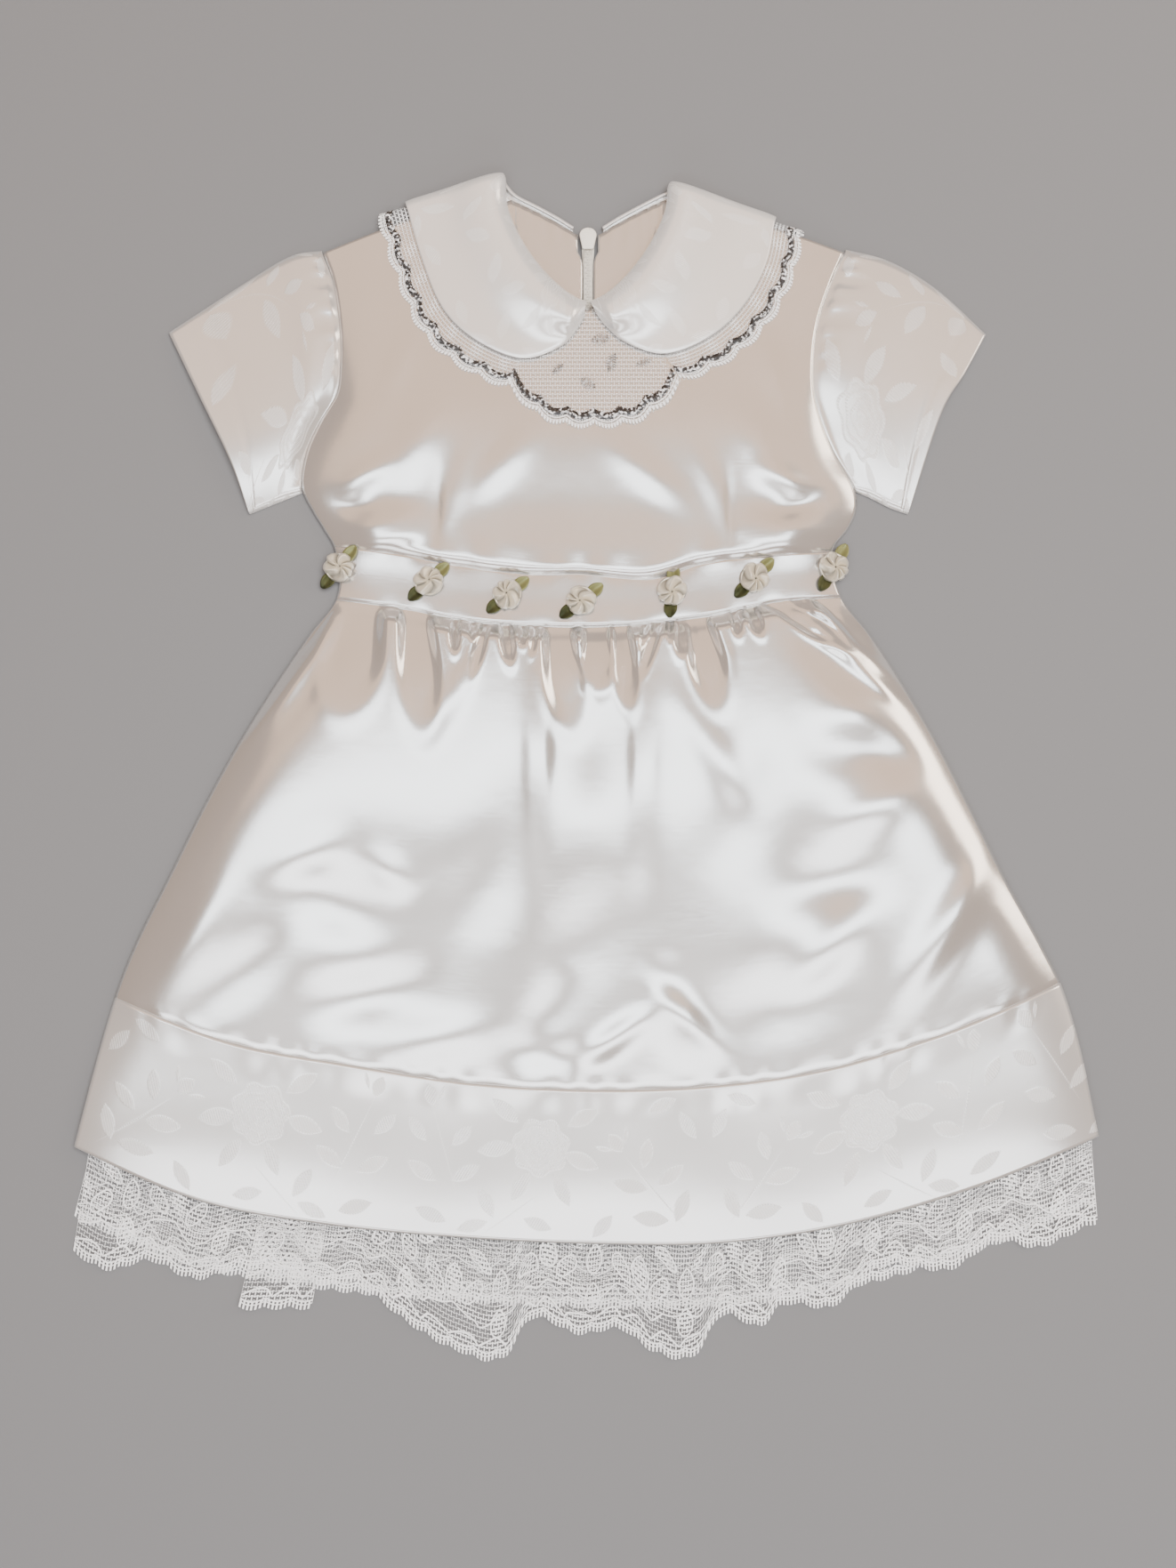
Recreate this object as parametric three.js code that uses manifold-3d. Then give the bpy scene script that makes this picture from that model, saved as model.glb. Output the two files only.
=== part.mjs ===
// Christening gown laid flat on its back, in millimetres: +Z up, neck towards +Y, origin under its middle.
import * as THREE from "three";
import { mergeVertices } from "three/addons/utils/BufferGeometryUtils.js";
import Module from "manifold-3d";

const { lerp, smoothstep, degToRad } = THREE.MathUtils;

// Driving sizes of the cloth
const satinWall = 1.2;
const laceWall = 1.0;
const collarWall = 1.4;
const ribbonWall = 0.6;
const seamGap = 0.3;
const layerStep = satinWall + seamGap;
const laceLift = satinWall / 2 + seamGap + laceWall / 2;
const collarLift = laceLift + laceWall / 2 + seamGap + collarWall / 2;

// The collar and its lace turn under the shoulders, and this is how far they lift the back panel there.
const shoulderLift = collarWall + seamGap + laceWall + seamGap;
const liftBand = { startY: 118, fullY: 186, fullX: 100, endX: 136 };

// Side outline of the laid gown through armholes, side seams, waist and skirt: a row for each height.
const sideRows = [
  { y: 238, left: -123.5, right: 119.5 },
  { y: 226, left: -119.3, right: 114.2 },
  { y: 205, left: -116, right: 107.2 },
  { y: 186, left: -115.6, right: 105 },
  { y: 172, left: -117.5, right: 105.6 },
  { y: 160, left: -125, right: 108.8 },
  { y: 145, left: -131.8, right: 115 },
  { y: 128, left: -133.3, right: 124.4 },
  { y: 118, left: -128.5, right: 125.2 },
  { y: 110, left: -123.6, right: 121.6 },
  { y: 101, left: -118.5, right: 115 },
  { y: 77, left: -117.5, right: 118.5 },
  { y: 60, left: -130, right: 131.5 },
  { y: 16, left: -159, right: 159.2 },
  { y: -17, left: -177.6, right: 176.5 },
  { y: -55, left: -196.6, right: 195.4 },
  { y: -84, left: -211, right: 211.3 },
  { y: -106, left: -219.8, right: 222 },
  { y: -178, left: -239.4, right: 239 },
];

// Seams that cross the gown, a row for each share of the width from the left side to the right.
const crossRows = [
  { share: 0, waistTop: 101.9, waistBottom: 76.5, bandSeam: -109.4, hem: -179 },
  { share: 0.125, waistTop: 98.2, waistBottom: 72.7, bandSeam: -129.6, hem: -203.8 },
  { share: 0.25, waistTop: 92.6, waistBottom: 67, bandSeam: -140, hem: -214.8 },
  { share: 0.375, waistTop: 89, waistBottom: 64.5, bandSeam: -148.5, hem: -220.6 },
  { share: 0.5, waistTop: 89, waistBottom: 64, bandSeam: -151.6, hem: -223.6 },
  { share: 0.625, waistTop: 86.6, waistBottom: 65.6, bandSeam: -150, hem: -223.5 },
  { share: 0.75, waistTop: 94, waistBottom: 69.5, bandSeam: -142.2, hem: -215 },
  { share: 0.875, waistTop: 97.4, waistBottom: 75.6, bandSeam: -125.3, hem: -197.9 },
  { share: 1, waistTop: 99.4, waistBottom: 77.7, bandSeam: -102.3, hem: -174 },
];

// How far the front stands off the back along its middle, a row for each height.
const fullnessRows = [
  { y: 272, rise: 0 },
  { y: 240, rise: 0.2 },
  { y: 190, rise: 3.6 },
  { y: 150, rise: 7.5 },
  { y: 112, rise: 7 },
  { y: 88, rise: 4.5 },
  { y: 66, rise: 5 },
  { y: 36, rise: 10 },
  { y: 0, rise: 12 },
  { y: -80, rise: 9 },
  { y: -140, rise: 6 },
  { y: -224, rise: 2 },
];
const sideRounding = 18;

// The largest soft folds of the front: middle, direction in degrees, length, width and height.
const foldRows = [
  { x: -24, y: 2, turn: 90, length: 150, width: 8, height: 2.2 },
  { x: 27, y: 0, turn: 88, length: 150, width: 8, height: 2.0 },
  { x: -140, y: 36, turn: 57, length: 96, width: 9, height: 4.0 },
  { x: 131, y: 54, turn: -52, length: 70, width: 8, height: 4.0 },
  { x: -115, y: -67, turn: -30, length: 90, width: 16, height: -3.0 },
  { x: -104, y: -108, turn: 15, length: 80, width: 13, height: -2.0 },
  { x: -20, y: -120, turn: 70, length: 60, width: 11, height: -2.0 },
  { x: 40, y: -118, turn: -62, length: 70, width: 10, height: 1.8 },
  { x: 124, y: 8, turn: 0, length: 70, width: 15, height: -3.0 },
  { x: 112, y: -55, turn: 20, length: 80, width: 14, height: -2.4 },
  { x: 160, y: -90, turn: 54, length: 130, width: 11, height: 2.6 },
  { x: -80, y: 148, turn: 62, length: 70, width: 10, height: 1.8 },
  { x: 82, y: 146, turn: -58, length: 70, width: 10, height: 1.8 },
  { x: -98, y: 110, turn: 12, length: 56, width: 8, height: 3.0 },
  { x: 94, y: 108, turn: -10, length: 56, width: 8, height: 3.0 },
];

// Gathers of the skirt under the waistband
const gathers = { count: 22, height: 2.2, shortFade: 16, longFade: 44, stepsEach: 4 };

// Lower edge of the hem lace, a row for each bulge or notch: how far it drops below the hem.
const laceDropRows = [
  { x: -241, drop: 46 },
  { x: -224, drop: 46 },
  { x: -205, drop: 34 },
  { x: -184, drop: 35 },
  { x: -162, drop: 24 },
  { x: -158, drop: 45 },
  { x: -139, drop: 36 },
  { x: -128, drop: 41 },
  { x: -122, drop: 27 },
  { x: -110, drop: 24 },
  { x: -79, drop: 44 },
  { x: -50, drop: 54 },
  { x: -28, drop: 36 },
  { x: -5, drop: 42 },
  { x: 15, drop: 39 },
  { x: 41, drop: 52 },
  { x: 59, drop: 33 },
  { x: 82, drop: 40 },
  { x: 89, drop: 33 },
  { x: 115, drop: 36 },
  { x: 137, drop: 22 },
  { x: 170, drop: 34 },
  { x: 191, drop: 28 },
  { x: 210, drop: 38 },
  { x: 238, drop: 38 },
];
const hemLace = {
  leftTop: -233,
  rightTop: 235,
  leftFoot: -241,
  rightFoot: 238,
  tuck: 5,
  clear: 0.8,
  backDrop: 30,
  frontSettle: 14,
  backSettle: 8,
  scallops: 40,
  scallopDepth: 1.6,
};
// The front of the hem stands on the two laces that are caught inside it.
const hemLift = 2 * (laceWall + seamGap);

// Neck edge: a pointed oval, with the heights where it meets the two shoulders.
const neck = { leftWidth: 37.7, rightWidth: 36.5, depth: 48, middle: 262, power: 1.42 };
const neckTop = { left: 271, right: 267 };
const neckTurn = 110;

// Collar from the centre front to the shoulder: angle round the neck and outer edge, a row for each section.
const collarFrontRows = {
  left: [
    { step: 0, angle: 4, edgeX: -2.4, edgeY: 207 },
    { step: 1, angle: 12, edgeX: -7, edgeY: 199.5 },
    { step: 2, angle: 22, edgeX: -14, edgeY: 192.6 },
    { step: 3, angle: 32, edgeX: -31, edgeY: 187.3 },
    { step: 4, angle: 43, edgeX: -52.7, edgeY: 196.5 },
    { step: 5, angle: 60, edgeX: -68, edgeY: 212 },
    { step: 6, angle: 83, edgeX: -78, edgeY: 237 },
    { step: 7, angle: neckTurn, edgeX: -84, edgeY: 258 },
  ],
  right: [
    { step: 0, angle: 4, edgeX: 4.6, edgeY: 208.5 },
    { step: 1, angle: 12, edgeX: 9, edgeY: 202.7 },
    { step: 2, angle: 22, edgeX: 18.4, edgeY: 194.8 },
    { step: 3, angle: 32, edgeX: 36, edgeY: 189.6 },
    { step: 4, angle: 43, edgeX: 56.9, edgeY: 197.9 },
    { step: 5, angle: 60, edgeX: 73, edgeY: 213.5 },
    { step: 6, angle: 83, edgeX: 83, edgeY: 233 },
    { step: 7, angle: neckTurn, edgeX: 86.5, edgeY: 251 },
  ],
};
// Collar under the back, from the shoulder to the zip.
const collarBackRows = [
  { step: 1, neckX: 33, neckY: 266, edgeX: 76, edgeY: 226 },
  { step: 2, neckX: 24, neckY: 261.5, edgeX: 52, edgeY: 207 },
  { step: 3, neckX: 14, neckY: 256, edgeX: 26, edgeY: 200.5 },
  { step: 4, neckX: 7, neckY: 251.5, edgeX: 8, edgeY: 199.5 },
];
// Section through the collar from the neck seam over the roll: how far in, and how high in front and behind.
const collarRollRows = [
  { inset: 1.8, front: -2.6, back: 2.9 },
  { inset: 0.4, front: 0.8, back: 1.0 },
  { inset: 2.2, front: 3.2, back: 0.1 },
  { inset: 7, front: 1.7, back: 0 },
  { inset: 14, front: 0.3, back: 0 },
];
const collarRollWidth = 20;
const collarFoldReach = 4.1;
const laceFoldReach = 1.8;
const bodiceNeckInset = 3.2;
const shoulderInset = 1.8;
const backNeckDrop = 5;
const collarLace = { inset: 4.5, reach: 12.6, firstStep: 3 };
const collarScallops = { front: 8, back: 6, depth: 1.8 };
const bib = { turn: 27, inset: 5, leftX: -34, rightX: 40, sideY: 174, footY: 154.8, power: 3 };

// Sleeves: the folded edge over the cap, the cuff and the underarm.
const sleeveEdges = {
  left: {
    cap: [[-124.5, 239.5], [-138, 237.6], [-156, 227.5], [-196, 201.5]],
    cuff: [[-196, 201.5], [-181, 171], [-166.5, 141], [-158.5, 117]],
    under: [[-134, 126.8], [-146.5, 121.8], [-158.5, 117]],
  },
  right: {
    cap: [[120.5, 240], [140.6, 235], [163.3, 221.5], [186, 200.6]],
    cuff: [[186, 200.6], [176, 182.5], [164.3, 162.7], [149.8, 117]],
    under: [[125, 127.6], [132.5, 124.4], [141.7, 119.8], [149.8, 117]],
  },
};
const sleeve = { armpitY: 127.4, fullness: 6, gathers: 7, gatherHeight: 1.6, gatherFade: 0.28 };
const sleeveSteps = { round: 28, along: 6 };

// Ribbon roses along the waistband, and the direction of the two leaves under each.
const roseRows = [
  { x: -116.2, y: 91.5, leafTurn: 50 },
  { x: -74.1, y: 84.4, leafTurn: 42 },
  { x: -37.3, y: 78.3, leafTurn: 40 },
  { x: -3.1, y: 75.6, leafTurn: 38 },
  { x: 39, y: 80.2, leafTurn: 85 },
  { x: 77.3, y: 86.3, leafTurn: 45 },
  { x: 114.4, y: 91.5, leafTurn: 60 },
];
const rose = { radius: 7, height: 6.5, petals: 5, segments: 12, rings: 4, swirl: 1.6 };
const leaf = { reach: 12.6, widest: 4.6, middleWidth: 2.4, tipWidth: 0.8 };

// Zip down the centre back
const zip = { half: 2.2, wall: 1.2, topY: 239.6, footY: 37 };
const zipOpening = { half: 2.6, sliderHalf: 4.8, sliderFrom: 238.5 };
const slider = { middleY: 245, halfLength: 5, topHalf: 4, footHalf: 2.6, bottomZ: 2.4, topZ: 5.1 };
const bridge = { half: 1, outer: 4.2, inner: 3.2, crownBottom: 0.2, crownTop: 0.65, rooted: 0.5 };
const pull = { axisZ: 1.35, barRadius: 0.4, half: 3, length: 20, wall: 0.8 };
const pullWindow = { half: 1.4, length: 4.4 };

const gown = new THREE.Group();
const cloth = (color, roughness) => new THREE.MeshStandardMaterial({ color, roughness, metalness: 0 });
const finishes = {
  satin: cloth(0xf0edea, 0.36),
  jacquard: cloth(0xeceae8, 0.5),
  lace: cloth(0xf4f4f2, 0.75),
  rose: cloth(0xebe5d6, 0.45),
  leaf: cloth(0x5f6138, 0.5),
  zip: cloth(0xe9e4da, 0.6),
  slider: new THREE.MeshStandardMaterial({ color: 0xf1eee8, roughness: 0.35, metalness: 0.3 }),
};

function addPiece(name, geometry, finish) {
  const mesh = new THREE.Mesh(geometry, finish);
  mesh.name = name;
  gown.add(mesh);
}

// A smooth function through one column of a table, read along another column.
function reader(rows, key, column) {
  const sorted = [...rows].sort((a, b) => a[key] - b[key]);
  const at = sorted.map((row) => row[key]);
  const value = sorted.map((row) => row[column]);
  const secant = at.slice(1).map((x, i) => (value[i + 1] - value[i]) / (x - at[i]));
  const slope = at.map((x, i) => {
    const before = secant[Math.max(i - 1, 0)];
    const after = secant[Math.min(i, secant.length - 1)];
    return (before + after) / 2;
  });
  return (x) => {
    const clamped = THREE.MathUtils.clamp(x, at[0], at.at(-1));
    const i = Math.min(Math.max(at.findIndex((edge) => edge >= clamped) - 1, 0), at.length - 2);
    const span = at[i + 1] - at[i];
    const t = (clamped - at[i]) / span;
    const start = value[i] * (1 + 2 * t) * (1 - t) ** 2 + slope[i] * span * t * (1 - t) ** 2;
    const end = value[i + 1] * (3 - 2 * t) * t ** 2 + slope[i + 1] * span * (t - 1) * t ** 2;
    return start + end;
  };
}

const leftSide = reader(sideRows, "y", "left");
const rightSide = reader(sideRows, "y", "right");
const fullness = reader(fullnessRows, "y", "rise");
const shares = (count) => Array.from({ length: count + 1 }, (_, i) => i / count);
const point = (x, y) => new THREE.Vector2(x, y);

function curve(pairs) {
  const spline = new THREE.SplineCurve(pairs.map(([x, y]) => point(x, y)));
  return (share) => spline.getPoint(share);
}

// A closed wall of cloth round a grid of points on its middle surface, thickened across or straight up.
function clothWall(grid, wall, { closed = false, upright = false } = {}) {
  const rows = grid.length;
  const columns = grid[0].length;
  const turns = closed ? columns : columns - 1;
  const column = (c) => (closed ? (c + columns) % columns : THREE.MathUtils.clamp(c, 0, columns - 1));
  const positions = [];
  for (const side of [1, -1]) {
    for (let r = 0; r < rows; r++) {
      for (let c = 0; c < columns; c++) {
        const along = grid[r][column(c + 1)].clone().sub(grid[r][column(c - 1)]);
        const down = grid[Math.min(r + 1, rows - 1)][c].clone().sub(grid[Math.max(r - 1, 0)][c]);
        const normal = down.cross(along).normalize();
        const half = (side * wall) / 2;
        const offset = upright
          ? new THREE.Vector3(0, 0, (half * Math.sign(normal.z)) / Math.max(Math.abs(normal.z), 0.6))
          : normal.multiplyScalar(half);
        positions.push(grid[r][c].clone().add(offset));
      }
    }
  }
  const index = [];
  const vertex = (layer, r, c) => layer * rows * columns + r * columns + column(c);
  const quad = (a, b, c, d) => index.push(a, b, c, a, c, d);
  for (let r = 0; r < rows - 1; r++) {
    for (let c = 0; c < turns; c++) {
      quad(vertex(0, r, c), vertex(0, r + 1, c), vertex(0, r + 1, c + 1), vertex(0, r, c + 1));
      quad(vertex(1, r, c), vertex(1, r, c + 1), vertex(1, r + 1, c + 1), vertex(1, r + 1, c));
    }
  }
  for (let c = 0; c < turns; c++) {
    quad(vertex(0, 0, c), vertex(0, 0, c + 1), vertex(1, 0, c + 1), vertex(1, 0, c));
    const foot = rows - 1;
    quad(vertex(0, foot, c), vertex(1, foot, c), vertex(1, foot, c + 1), vertex(0, foot, c + 1));
  }
  for (let r = 0; r < rows - 1 && !closed; r++) {
    quad(vertex(0, r, 0), vertex(1, r, 0), vertex(1, r + 1, 0), vertex(0, r + 1, 0));
    const last = columns - 1;
    quad(vertex(0, r, last), vertex(0, r + 1, last), vertex(1, r + 1, last), vertex(1, r, last));
  }
  return facingOut(positions, index);
}

// A mesh whose faces point out, whichever way round its grid ran.
function facingOut(positions, index) {
  let volume = 0;
  for (let i = 0; i < index.length; i += 3) {
    const [a, b, c] = index.slice(i, i + 3).map((v) => positions[v]);
    volume += a.dot(b.clone().cross(c));
  }
  const outward = volume > 0 ? index : index.toReversed();
  return new THREE.BufferGeometry().setFromPoints(positions).setIndex(outward);
}

// A point of a patch spanned by four edges, each a function of a share from 0 to 1.
function patch({ top, bottom, left, right }, across, down) {
  const betweenSeams = top(across).lerp(bottom(across), down);
  const betweenSides = left(down).lerp(right(down), across);
  const upper = top(0).lerp(top(1), across);
  const lower = bottom(0).lerp(bottom(1), across);
  return betweenSeams.add(betweenSides).sub(upper.lerp(lower, down));
}

function panelGrid(edges, acrossShares, downShares, height) {
  const place = (across, down) => {
    const flat = patch(edges, across, down);
    return new THREE.Vector3(flat.x, flat.y, height(flat.x, flat.y, across, down));
  };
  return downShares.map((down) => acrossShares.map((across) => place(across, down)));
}

// Middle heights of the two layers of cloth

function backMiddle(x, y) {
  const alongBody = smoothstep(y, liftBand.startY, liftBand.fullY);
  const acrossBody = 1 - smoothstep(Math.abs(x), liftBand.fullX, liftBand.endX);
  return satinWall / 2 + shoulderLift * alongBody * acrossBody;
}

function foldHeight(x, y) {
  let height = 0;
  for (const fold of foldRows) {
    const turn = degToRad(fold.turn);
    const along = (x - fold.x) * Math.cos(turn) + (y - fold.y) * Math.sin(turn);
    const aside = (y - fold.y) * Math.cos(turn) - (x - fold.x) * Math.sin(turn);
    const reach = Math.max(0, 1 - Math.abs((2 * along) / fold.length));
    height += fold.height * smoothstep(reach, 0, 1) * Math.exp(-((aside / fold.width) ** 2));
  }
  return height;
}

function sideShare(x, y) {
  const distance = Math.max(0, Math.min(x - leftSide(y), rightSide(y) - x));
  return 1 - Math.exp(-distance / sideRounding);
}

function frontMiddle(x, y) {
  return backMiddle(x, y) + layerStep + (fullness(y) + foldHeight(x, y)) * sideShare(x, y);
}

// Seams and sides as edges of panels

function crossLine(column, shift) {
  const heightAt = reader(crossRows, "share", column);
  const start = leftSide(heightAt(0));
  const end = rightSide(heightAt(1));
  return (share) => point(lerp(start, end, share), heightAt(share) + shift);
}

function sideEdge(side, topY, bottomY) {
  return (down) => {
    const y = lerp(topY, bottomY, down);
    return point(side(y), y);
  };
}

function bandEdges(topColumn, bottomColumn) {
  const top = crossLine(topColumn, -seamGap / 2);
  const bottom = crossLine(bottomColumn, seamGap / 2);
  return {
    top,
    bottom,
    left: sideEdge(leftSide, top(0).y, bottom(0).y),
    right: sideEdge(rightSide, top(1).y, bottom(1).y),
  };
}

// Half the opening between the two backs: wide at the slider, then as wide as the zip, then a closed seam.
function centreBackHalf(y) {
  const beside = lerp(seamGap / 2, zipOpening.half, smoothstep(y, zip.footY - 6, zip.footY - 1));
  return lerp(beside, zipOpening.sliderHalf, smoothstep(y, zipOpening.sliderFrom - 4, zipOpening.sliderFrom));
}

// The left or right half of a back panel, cut along the centre back.
function halfBack(edges, side) {
  const mark = side === "left" ? -1 : 1;
  const centre = (line) => {
    const y = line(0.5).y;
    return point(mark * centreBackHalf(y), y);
  };
  const halfLine = (line) => {
    const middle = line(0.5);
    return (share) => {
      const end = centre(line);
      const outer = line(0.5 + (mark * share) / 2);
      outer.x += (end.x - middle.x) * (1 - share);
      return outer;
    };
  };
  const outerSide = side === "left" ? edges.left : edges.right;
  const inner = (down) => {
    const y = lerp(edges.top(0.5).y, edges.bottom(0.5).y, down);
    return point(mark * centreBackHalf(y), y);
  };
  return { top: halfLine(edges.top), bottom: halfLine(edges.bottom), left: inner, right: outerSide };
}

function neckPoint(angle, inset = 0) {
  const right = angle > 0;
  const turn = Math.abs(angle);
  const width = (right ? neck.rightWidth : neck.leftWidth) + inset;
  const top = right ? neckTop.right : neckTop.left;
  const mark = right ? 1 : -1;
  if (turn > 90) {
    return point(mark * width, lerp(neck.middle, top, (turn - 90) / (neckTurn - 90)));
  }
  const round = (ratio) => Math.abs(ratio) ** (2 / neck.power);
  const x = mark * width * round(Math.sin(degToRad(turn)));
  return point(x, neck.middle - (neck.depth + inset) * round(Math.cos(degToRad(turn))));
}

// Bodice

const shoulderColumns = 5;
const neckColumns = 14;
const shoulderShare = 0.28;
const bodiceRows = 12;
const backColumns = 8;
const shoulderTipY = 238.6;
const shoulderTip = {
  left: point(leftSide(shoulderTipY), shoulderTipY),
  right: point(rightSide(shoulderTipY), shoulderTipY),
};

function bodiceFrontTop(across) {
  const neckShare = THREE.MathUtils.clamp((across - shoulderShare) / (1 - 2 * shoulderShare), 0, 1);
  const edge = neckPoint(lerp(-neckTurn, neckTurn, neckShare), bodiceNeckInset);
  edge.y -= shoulderInset * smoothstep(Math.abs(2 * neckShare - 1), 0.8, 1);
  if (neckShare === 0) {
    return shoulderTip.left.clone().lerp(edge, across / shoulderShare);
  }
  if (neckShare === 1) {
    return shoulderTip.right.clone().lerp(edge, (1 - across) / shoulderShare);
  }
  return edge;
}

function addBodiceFront() {
  const bottom = crossLine("waistTop", seamGap / 2);
  const edges = {
    top: bodiceFrontTop,
    bottom,
    left: sideEdge(leftSide, shoulderTip.left.y, bottom(0).y),
    right: sideEdge(rightSide, shoulderTip.right.y, bottom(1).y),
  };
  const shoulder = shares(shoulderColumns).map((share) => share * shoulderShare);
  const middle = shares(neckColumns).map((share) => lerp(shoulderShare, 1 - shoulderShare, share));
  const across = [...shoulder, ...middle.slice(1, -1), ...shoulder.map((share) => 1 - share).reverse()];
  const grid = panelGrid(edges, across, shares(bodiceRows), frontMiddle);
  addPiece("bodice_front", clothWall(grid, satinWall, { upright: true }), finishes.satin);
}

function addBodiceBack(side) {
  const mark = side === "left" ? -1 : 1;
  const neckRows = [{ step: 0, neckX: 37, neckY: 268 }, ...collarBackRows];
  const neckEdge = reader(neckRows, "step", "neckY");
  const neckAcross = reader(neckRows, "step", "neckX");
  const lastStep = collarBackRows.at(-1).step;
  const neckShare = 1 - 2 * shoulderShare;
  const corner = point(mark * neckAcross(0), neckEdge(0) - backNeckDrop);
  const bottom = crossLine("waistTop", seamGap / 2);
  const outer = side === "left" ? leftSide : rightSide;
  const top = (share) => {
    if (share > neckShare) {
      return corner.clone().lerp(shoulderTip[side], (share - neckShare) / (1 - neckShare));
    }
    const step = lastStep * (1 - share / neckShare);
    return point(mark * Math.max(neckAcross(step), zipOpening.sliderHalf), neckEdge(step) - backNeckDrop);
  };
  const halfBottom = halfBack({ top: bottom, bottom, left: bottom, right: bottom }, side).bottom;
  const edges = {
    top,
    bottom: halfBottom,
    left: (down) => {
      const y = lerp(top(0).y, halfBottom(0).y, down);
      return point(mark * centreBackHalf(y), y);
    },
    right: sideEdge(outer, shoulderTip[side].y, bottom(side === "left" ? 0 : 1).y),
  };
  const grid = panelGrid(edges, shares(backColumns), shares(bodiceRows), backMiddle);
  addPiece("bodice_back_" + side, clothWall(grid, satinWall, { upright: true }), finishes.satin);
}

// Sleeves: flattened tubes, open at the armhole and the cuff

function addSleeve(side) {
  const outer = side === "left" ? leftSide : rightSide;
  const mark = side === "left" ? -1 : 1;
  const edges = {
    top: (share) => {
      const y = lerp(shoulderTipY, sleeve.armpitY, share);
      return point(outer(y) + mark * 2 * seamGap, y);
    },
    bottom: curve(sleeveEdges[side].cuff),
    left: curve(sleeveEdges[side].cap),
    right: curve(sleeveEdges[side].under),
  };
  const ring = shares(sleeveSteps.round).slice(0, -1).map((share) => 2 * Math.PI * share);
  const grid = shares(sleeveSteps.along).map((along) =>
    ring.map((angle) => {
      const across = (1 - Math.cos(angle)) / 2;
      const flat = patch(edges, across, along);
      const low = backMiddle(flat.x, flat.y);
      const onFold = Math.abs(Math.sin(angle)) < 0.01;
      const upper = Math.sin(angle) > 0;
      const puff = sleeve.fullness * Math.sin(Math.PI * across) * smoothstep(along, 0, 0.4);
      const wave = 0.5 - 0.5 * Math.cos(2 * Math.PI * sleeve.gathers * across);
      const cap = (1 - smoothstep(across, 0.5, 0.9)) * Math.exp(-along / sleeve.gatherFade);
      const high = low + layerStep + puff * (1 - 0.3 * along) + sleeve.gatherHeight * wave * cap;
      const height = onFold ? low + layerStep / 2 : upper ? high : low;
      return new THREE.Vector3(flat.x, flat.y, height);
    }),
  );
  addPiece("sleeve_" + side, clothWall(grid, satinWall, { closed: true }), finishes.jacquard);
}

// Collar and its lace: each half lies on the front, turns over the shoulder and runs under the back

function collarSections(side) {
  const mark = side === "left" ? -1 : 1;
  const rows = collarFrontRows[side];
  const angleAt = reader(rows, "step", "angle");
  const edgeX = reader(rows, "step", "edgeX");
  const edgeY = reader(rows, "step", "edgeY");
  const lastStep = rows.at(-1).step;
  const front = (step) => ({
    inner: neckPoint(mark * angleAt(step)),
    outer: point(edgeX(step), edgeY(step)),
  });
  const fold = front(lastStep);
  const foldRow = {
    step: 0,
    neckX: mark * fold.inner.x,
    neckY: fold.inner.y,
    edgeX: mark * fold.outer.x,
    edgeY: fold.outer.y,
  };
  const backRows = [foldRow, ...collarBackRows];
  const columnAt = (column) => reader(backRows, "step", column);
  const [neckX, neckY, backX, backY] = ["neckX", "neckY", "edgeX", "edgeY"].map(columnAt);
  const back = (step) => ({
    inner: point(mark * neckX(step), neckY(step)),
    outer: point(mark * backX(step), backY(step)),
  });
  const shoulder = fold.outer.clone().sub(fold.inner).normalize();
  const outward = point(-mark * shoulder.y, mark * shoulder.x);
  return { front, back, fold, outward, lastStep, lastBack: collarBackRows.at(-1).step };
}

// One row of a strip that runs on the front, round the shoulder fold and under the back.
function wrapRow(sections, steps, reach, row) {
  const onSection = ({ inner, outer }, step, isBack) => {
    const width = outer.distanceTo(inner);
    return inner.clone().lerp(outer, row.distance(width, step, isBack) / width);
  };
  const points = [];
  for (const step of steps.front) {
    const flat = onSection(sections.front(step), step, false);
    const width = sections.front(step).outer.distanceTo(sections.front(step).inner);
    points.push(new THREE.Vector3(flat.x, flat.y, row.frontHeight(flat.x, flat.y, width)));
  }
  const top = points.at(-1);
  const start = onSection(sections.back(0), 0, true);
  const bottomZ = row.backHeight(start.x, start.y);
  const halfHeight = (top.z - bottomZ) / 2;
  const turnReach = reach * Math.min(1, halfHeight / reach);
  for (const share of steps.fold) {
    const angle = Math.PI * share;
    const flat = point(top.x, top.y).addScaledVector(sections.outward, turnReach * Math.sin(angle));
    points.push(new THREE.Vector3(flat.x, flat.y, top.z - halfHeight * (1 - Math.cos(angle))));
  }
  for (const step of steps.back) {
    const flat = onSection(sections.back(step), step, true);
    points.push(new THREE.Vector3(flat.x, flat.y, row.backHeight(flat.x, flat.y)));
  }
  return points;
}

const foldShares = [0.25, 0.5, 0.75];

function addCollar(side) {
  const sections = collarSections(side);
  const steps = {
    front: shares(14).map((share) => share * sections.lastStep),
    fold: foldShares,
    back: shares(8).map((share) => share * sections.lastBack),
  };
  const underside = collarWall / 2;
  const rollShare = (width) => Math.min(1, width / collarRollWidth);
  const rollRows = collarRollRows.map((roll) => ({
    distance: (width) => roll.inset * rollShare(width),
    frontHeight: (x, y, width) => frontMiddle(x, y) + collarLift + roll.front * rollShare(width),
    backHeight: () => underside + roll.back,
  }));
  const rollEnd = collarRollRows.at(-1).inset;
  const flatRows = [0.5, 1].map((share) => ({
    distance: (width) => lerp(rollEnd * rollShare(width), width, share),
    frontHeight: (x, y) => frontMiddle(x, y) + collarLift,
    backHeight: () => underside,
  }));
  const grid = [...rollRows, ...flatRows].map((row) => wrapRow(sections, steps, collarFoldReach, row));
  addPiece("collar_" + side, clothWall(grid, collarWall), finishes.satin);
}

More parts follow.
